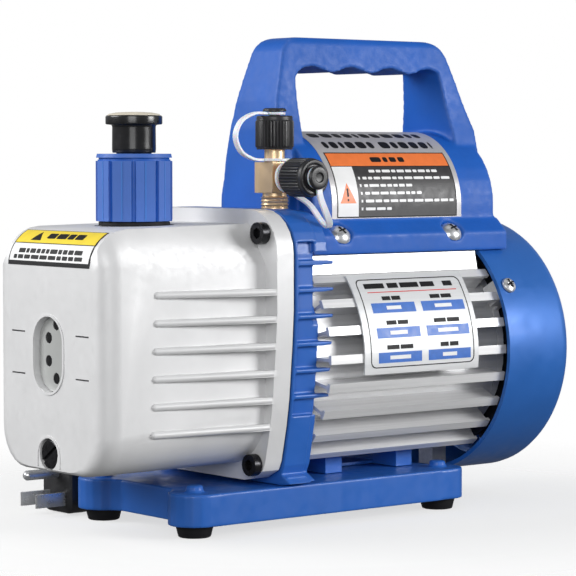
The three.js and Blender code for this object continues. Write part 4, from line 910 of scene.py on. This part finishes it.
def on_shoulder(u, v, w):
    """u across the tank, v in degrees round its front upper edge, w off the surface."""
    angle = math.radians(v)
    a, b = SHOULDER["forward"] + w, SHOULDER["up"] + w
    rise = b * math.sin(angle) + (1 - math.cos(angle)) * SHOULDER["slope"]
    return (SHOULDER["x"] - a * math.cos(angle), -u, SHOULDER["z"] + rise)


def on_front(u, v, w):
    """u across the tank's front face, v its height, w off the surface."""
    return (TANK_FRONT_X - w, -u, v)


def tank_prints():
    """The caution label over the front upper edge, and the four level ticks beside the window."""
    decal("caution_field", [rectangle(-32, 32, 2, 66)], on_shoulder, "print_black", -0.5, 0.12, 6)
    decal("caution_white", [rectangle(-31.2, 31.2, 8.5, 36)], on_shoulder, "print_white", 0, 0.18, 6)
    decal("caution_band", [rectangle(-31.2, 31.2, 37.5, 64.5)], on_shoulder, "print_yellow", 0, 0.18, 6)
    decal("caution_sign", [[(-20.5, 42), (-12.5, 42), (-16.5, 60)]], on_shoulder, "print_black", 0.1, 0.24, 4)
    heading = [rectangle(u, v, 46, 57, 1.2) for u, v in ((-9, -2.5), (-1.5, 6), (7, 12), (13, 19.5))]
    decal("caution_heading", heading, on_shoulder, "print_black", 0.1, 0.24, 4)
    lines = [[(u, 24 + (v - 0.5) * 7) for u, v in bar] for bar in text_bars(-25, 25, 0, 1)]
    lines += [[(u, 14.5 + (v - 0.5) * 6) for u, v in bar] for bar in text_bars(-28, 28, 0, 1)]
    decal("caution_lines", lines, on_shoulder, "print_black", 0.1, 0.24, 4)
    ticks = []
    for z in (91, 72.2):
        ticks += [rectangle(-29, -18.6, z - 0.3, z + 0.3), rectangle(21.6, 31.5, z - 0.3, z + 0.3)]
    decal("level_ticks", ticks, on_front, "print_grey", -0.5, 0.10, 6)


tank_prints()


def slot_line(half_w, half_h, z):
    """An upright outline with round ends."""
    reach = half_h - half_w
    return arc(0, z + reach, half_w, 0, 180, 20) + arc(0, z - reach, half_w, 180, 360, 20)


def rib_beads():
    """Round-nosed beads that give the six side ribs their cast edge."""
    for side in (-1, 1):
        for i, tip in enumerate((55.0, 54.9, 54.3, 53.5, 52.1, 50.2)):
            z = 108.6 - 12.15 * i
            start = Vector((-104.6 - 0.4 * i, side * 43.9, z))
            end = Vector((-47.6, side * (tip - 1.1), z))
            reach = (end - start).length
            line = [(0, -1.7)] + [(1.7 * math.cos(a), 1.7 * math.sin(a)) for a in (-1.2, -0.9, -0.5, -0.2)]
            line += [(1.7, 0), (1.6, reach), (0, reach)]
            verts, faces = lathe(line, (end - start).normalized(), start, 20)
            build(f"tank_rib_{i + 1}_{'left' if side > 0 else 'right'}", verts, faces, "cast_alloy")


rib_beads()


def sight_rim():
    """A thin raised rim round the level window, and the dark oil behind its four ports."""
    z = 81.6
    outer, inner = slot_line(12.5, 17.9, z), slot_line(11.5, 16.9, z)
    decal("sight_rim", [[outer, inner]], on_front, "cast_alloy", -0.6, 0.45, 50, slot="cast_alloy")
    ports = []
    for y, dz in ((2, 13.2), (-4, 7.1), (-4, -3.1), (2, -10.6)):
        ports.append(arc(y, z + dz, 2.5, 0, 342, 19))
    decal("sight_oil", ports, on_front, "gloss_black", -4.3, -3.2, 50, slot="window")


sight_rim()


def drain_rim():
    """A raised U round the drain screw, running out at the tank's lower edge."""
    z, low = 36.5, 31.8
    outer = [(-9.2, low)] + arc(0, z, 9.2, 180, 0, 20) + [(9.2, low)]
    inner = [(-8.2, low)] + arc(0, z, 8.2, 180, 0, 20) + [(8.2, low)]
    decal("drain_rim", [outer + inner[::-1]], on_front, "cast_alloy", -0.6, 0.4, 50, slot="cast_alloy")


drain_rim()


def recess_shade_cross(name, point, axis):
    """A dark cross on a screw head, painting the shade inside its driver recess."""
    turn = frame_of(axis)
    corners = ((2.3, 0.42), (-2.3, 0.42), (-2.3, -0.42), (2.3, -0.42))
    parts = []
    for angle in (20, 110):
        c, s = math.cos(math.radians(angle)), math.sin(math.radians(angle))
        bar = [(u * c - v * s, u * s + v * c) for u, v in corners]
        parts.append(loft([[Vector(point) + turn @ Vector((x, y, t)) for x, y in bar] for t in (-0.3, 0.06)]))
    # Painted shade: a dark cross standing in for the shaded recess on a steel screw.
    build(name, *joined(parts), "black_oxide", slot="steel", smooth=False)


def head_top(node, axis):
    """Middle of a screw head's outer face, along its axis, in millimetres."""
    points = [v.co / MM for v in NODES[node].data.vertices]
    reach = max(p.dot(axis) for p in points)
    top = [p for p in points if p.dot(axis) > reach - 0.05]
    return sum(top, Vector()) / len(top)


def middle_of(node):
    low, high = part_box(node)
    return (low + high) / 2 / MM


# Painted shade in the driver recesses of the fan cover and handle screws.
def paint_recess_shades():
    for i, node in enumerate(numbered("fan_cover_screw", 3)):
        centre = middle_of(node)
        axis = Vector((0, centre.y, centre.z - SHAFT_Z)).normalized()
        recess_shade_cross(f"cover_recess_shade_{i + 1}", head_top(node, axis), axis)
    for i, (x, side) in enumerate(((3.1, -1), (72.7, -1), (3.1, 1), (72.7, 1))):
        axis = Vector((0, side * 0.65, 0.76)).normalized()
        spot = Vector((x, side * 40, 134))
        nearest = min(numbered("handle_screw", 4), key=lambda node: (middle_of(node) - spot).length)
        recess_shade_cross(f"handle_recess_shade_{i + 1}", head_top(nearest, axis), axis)


paint_recess_shades()
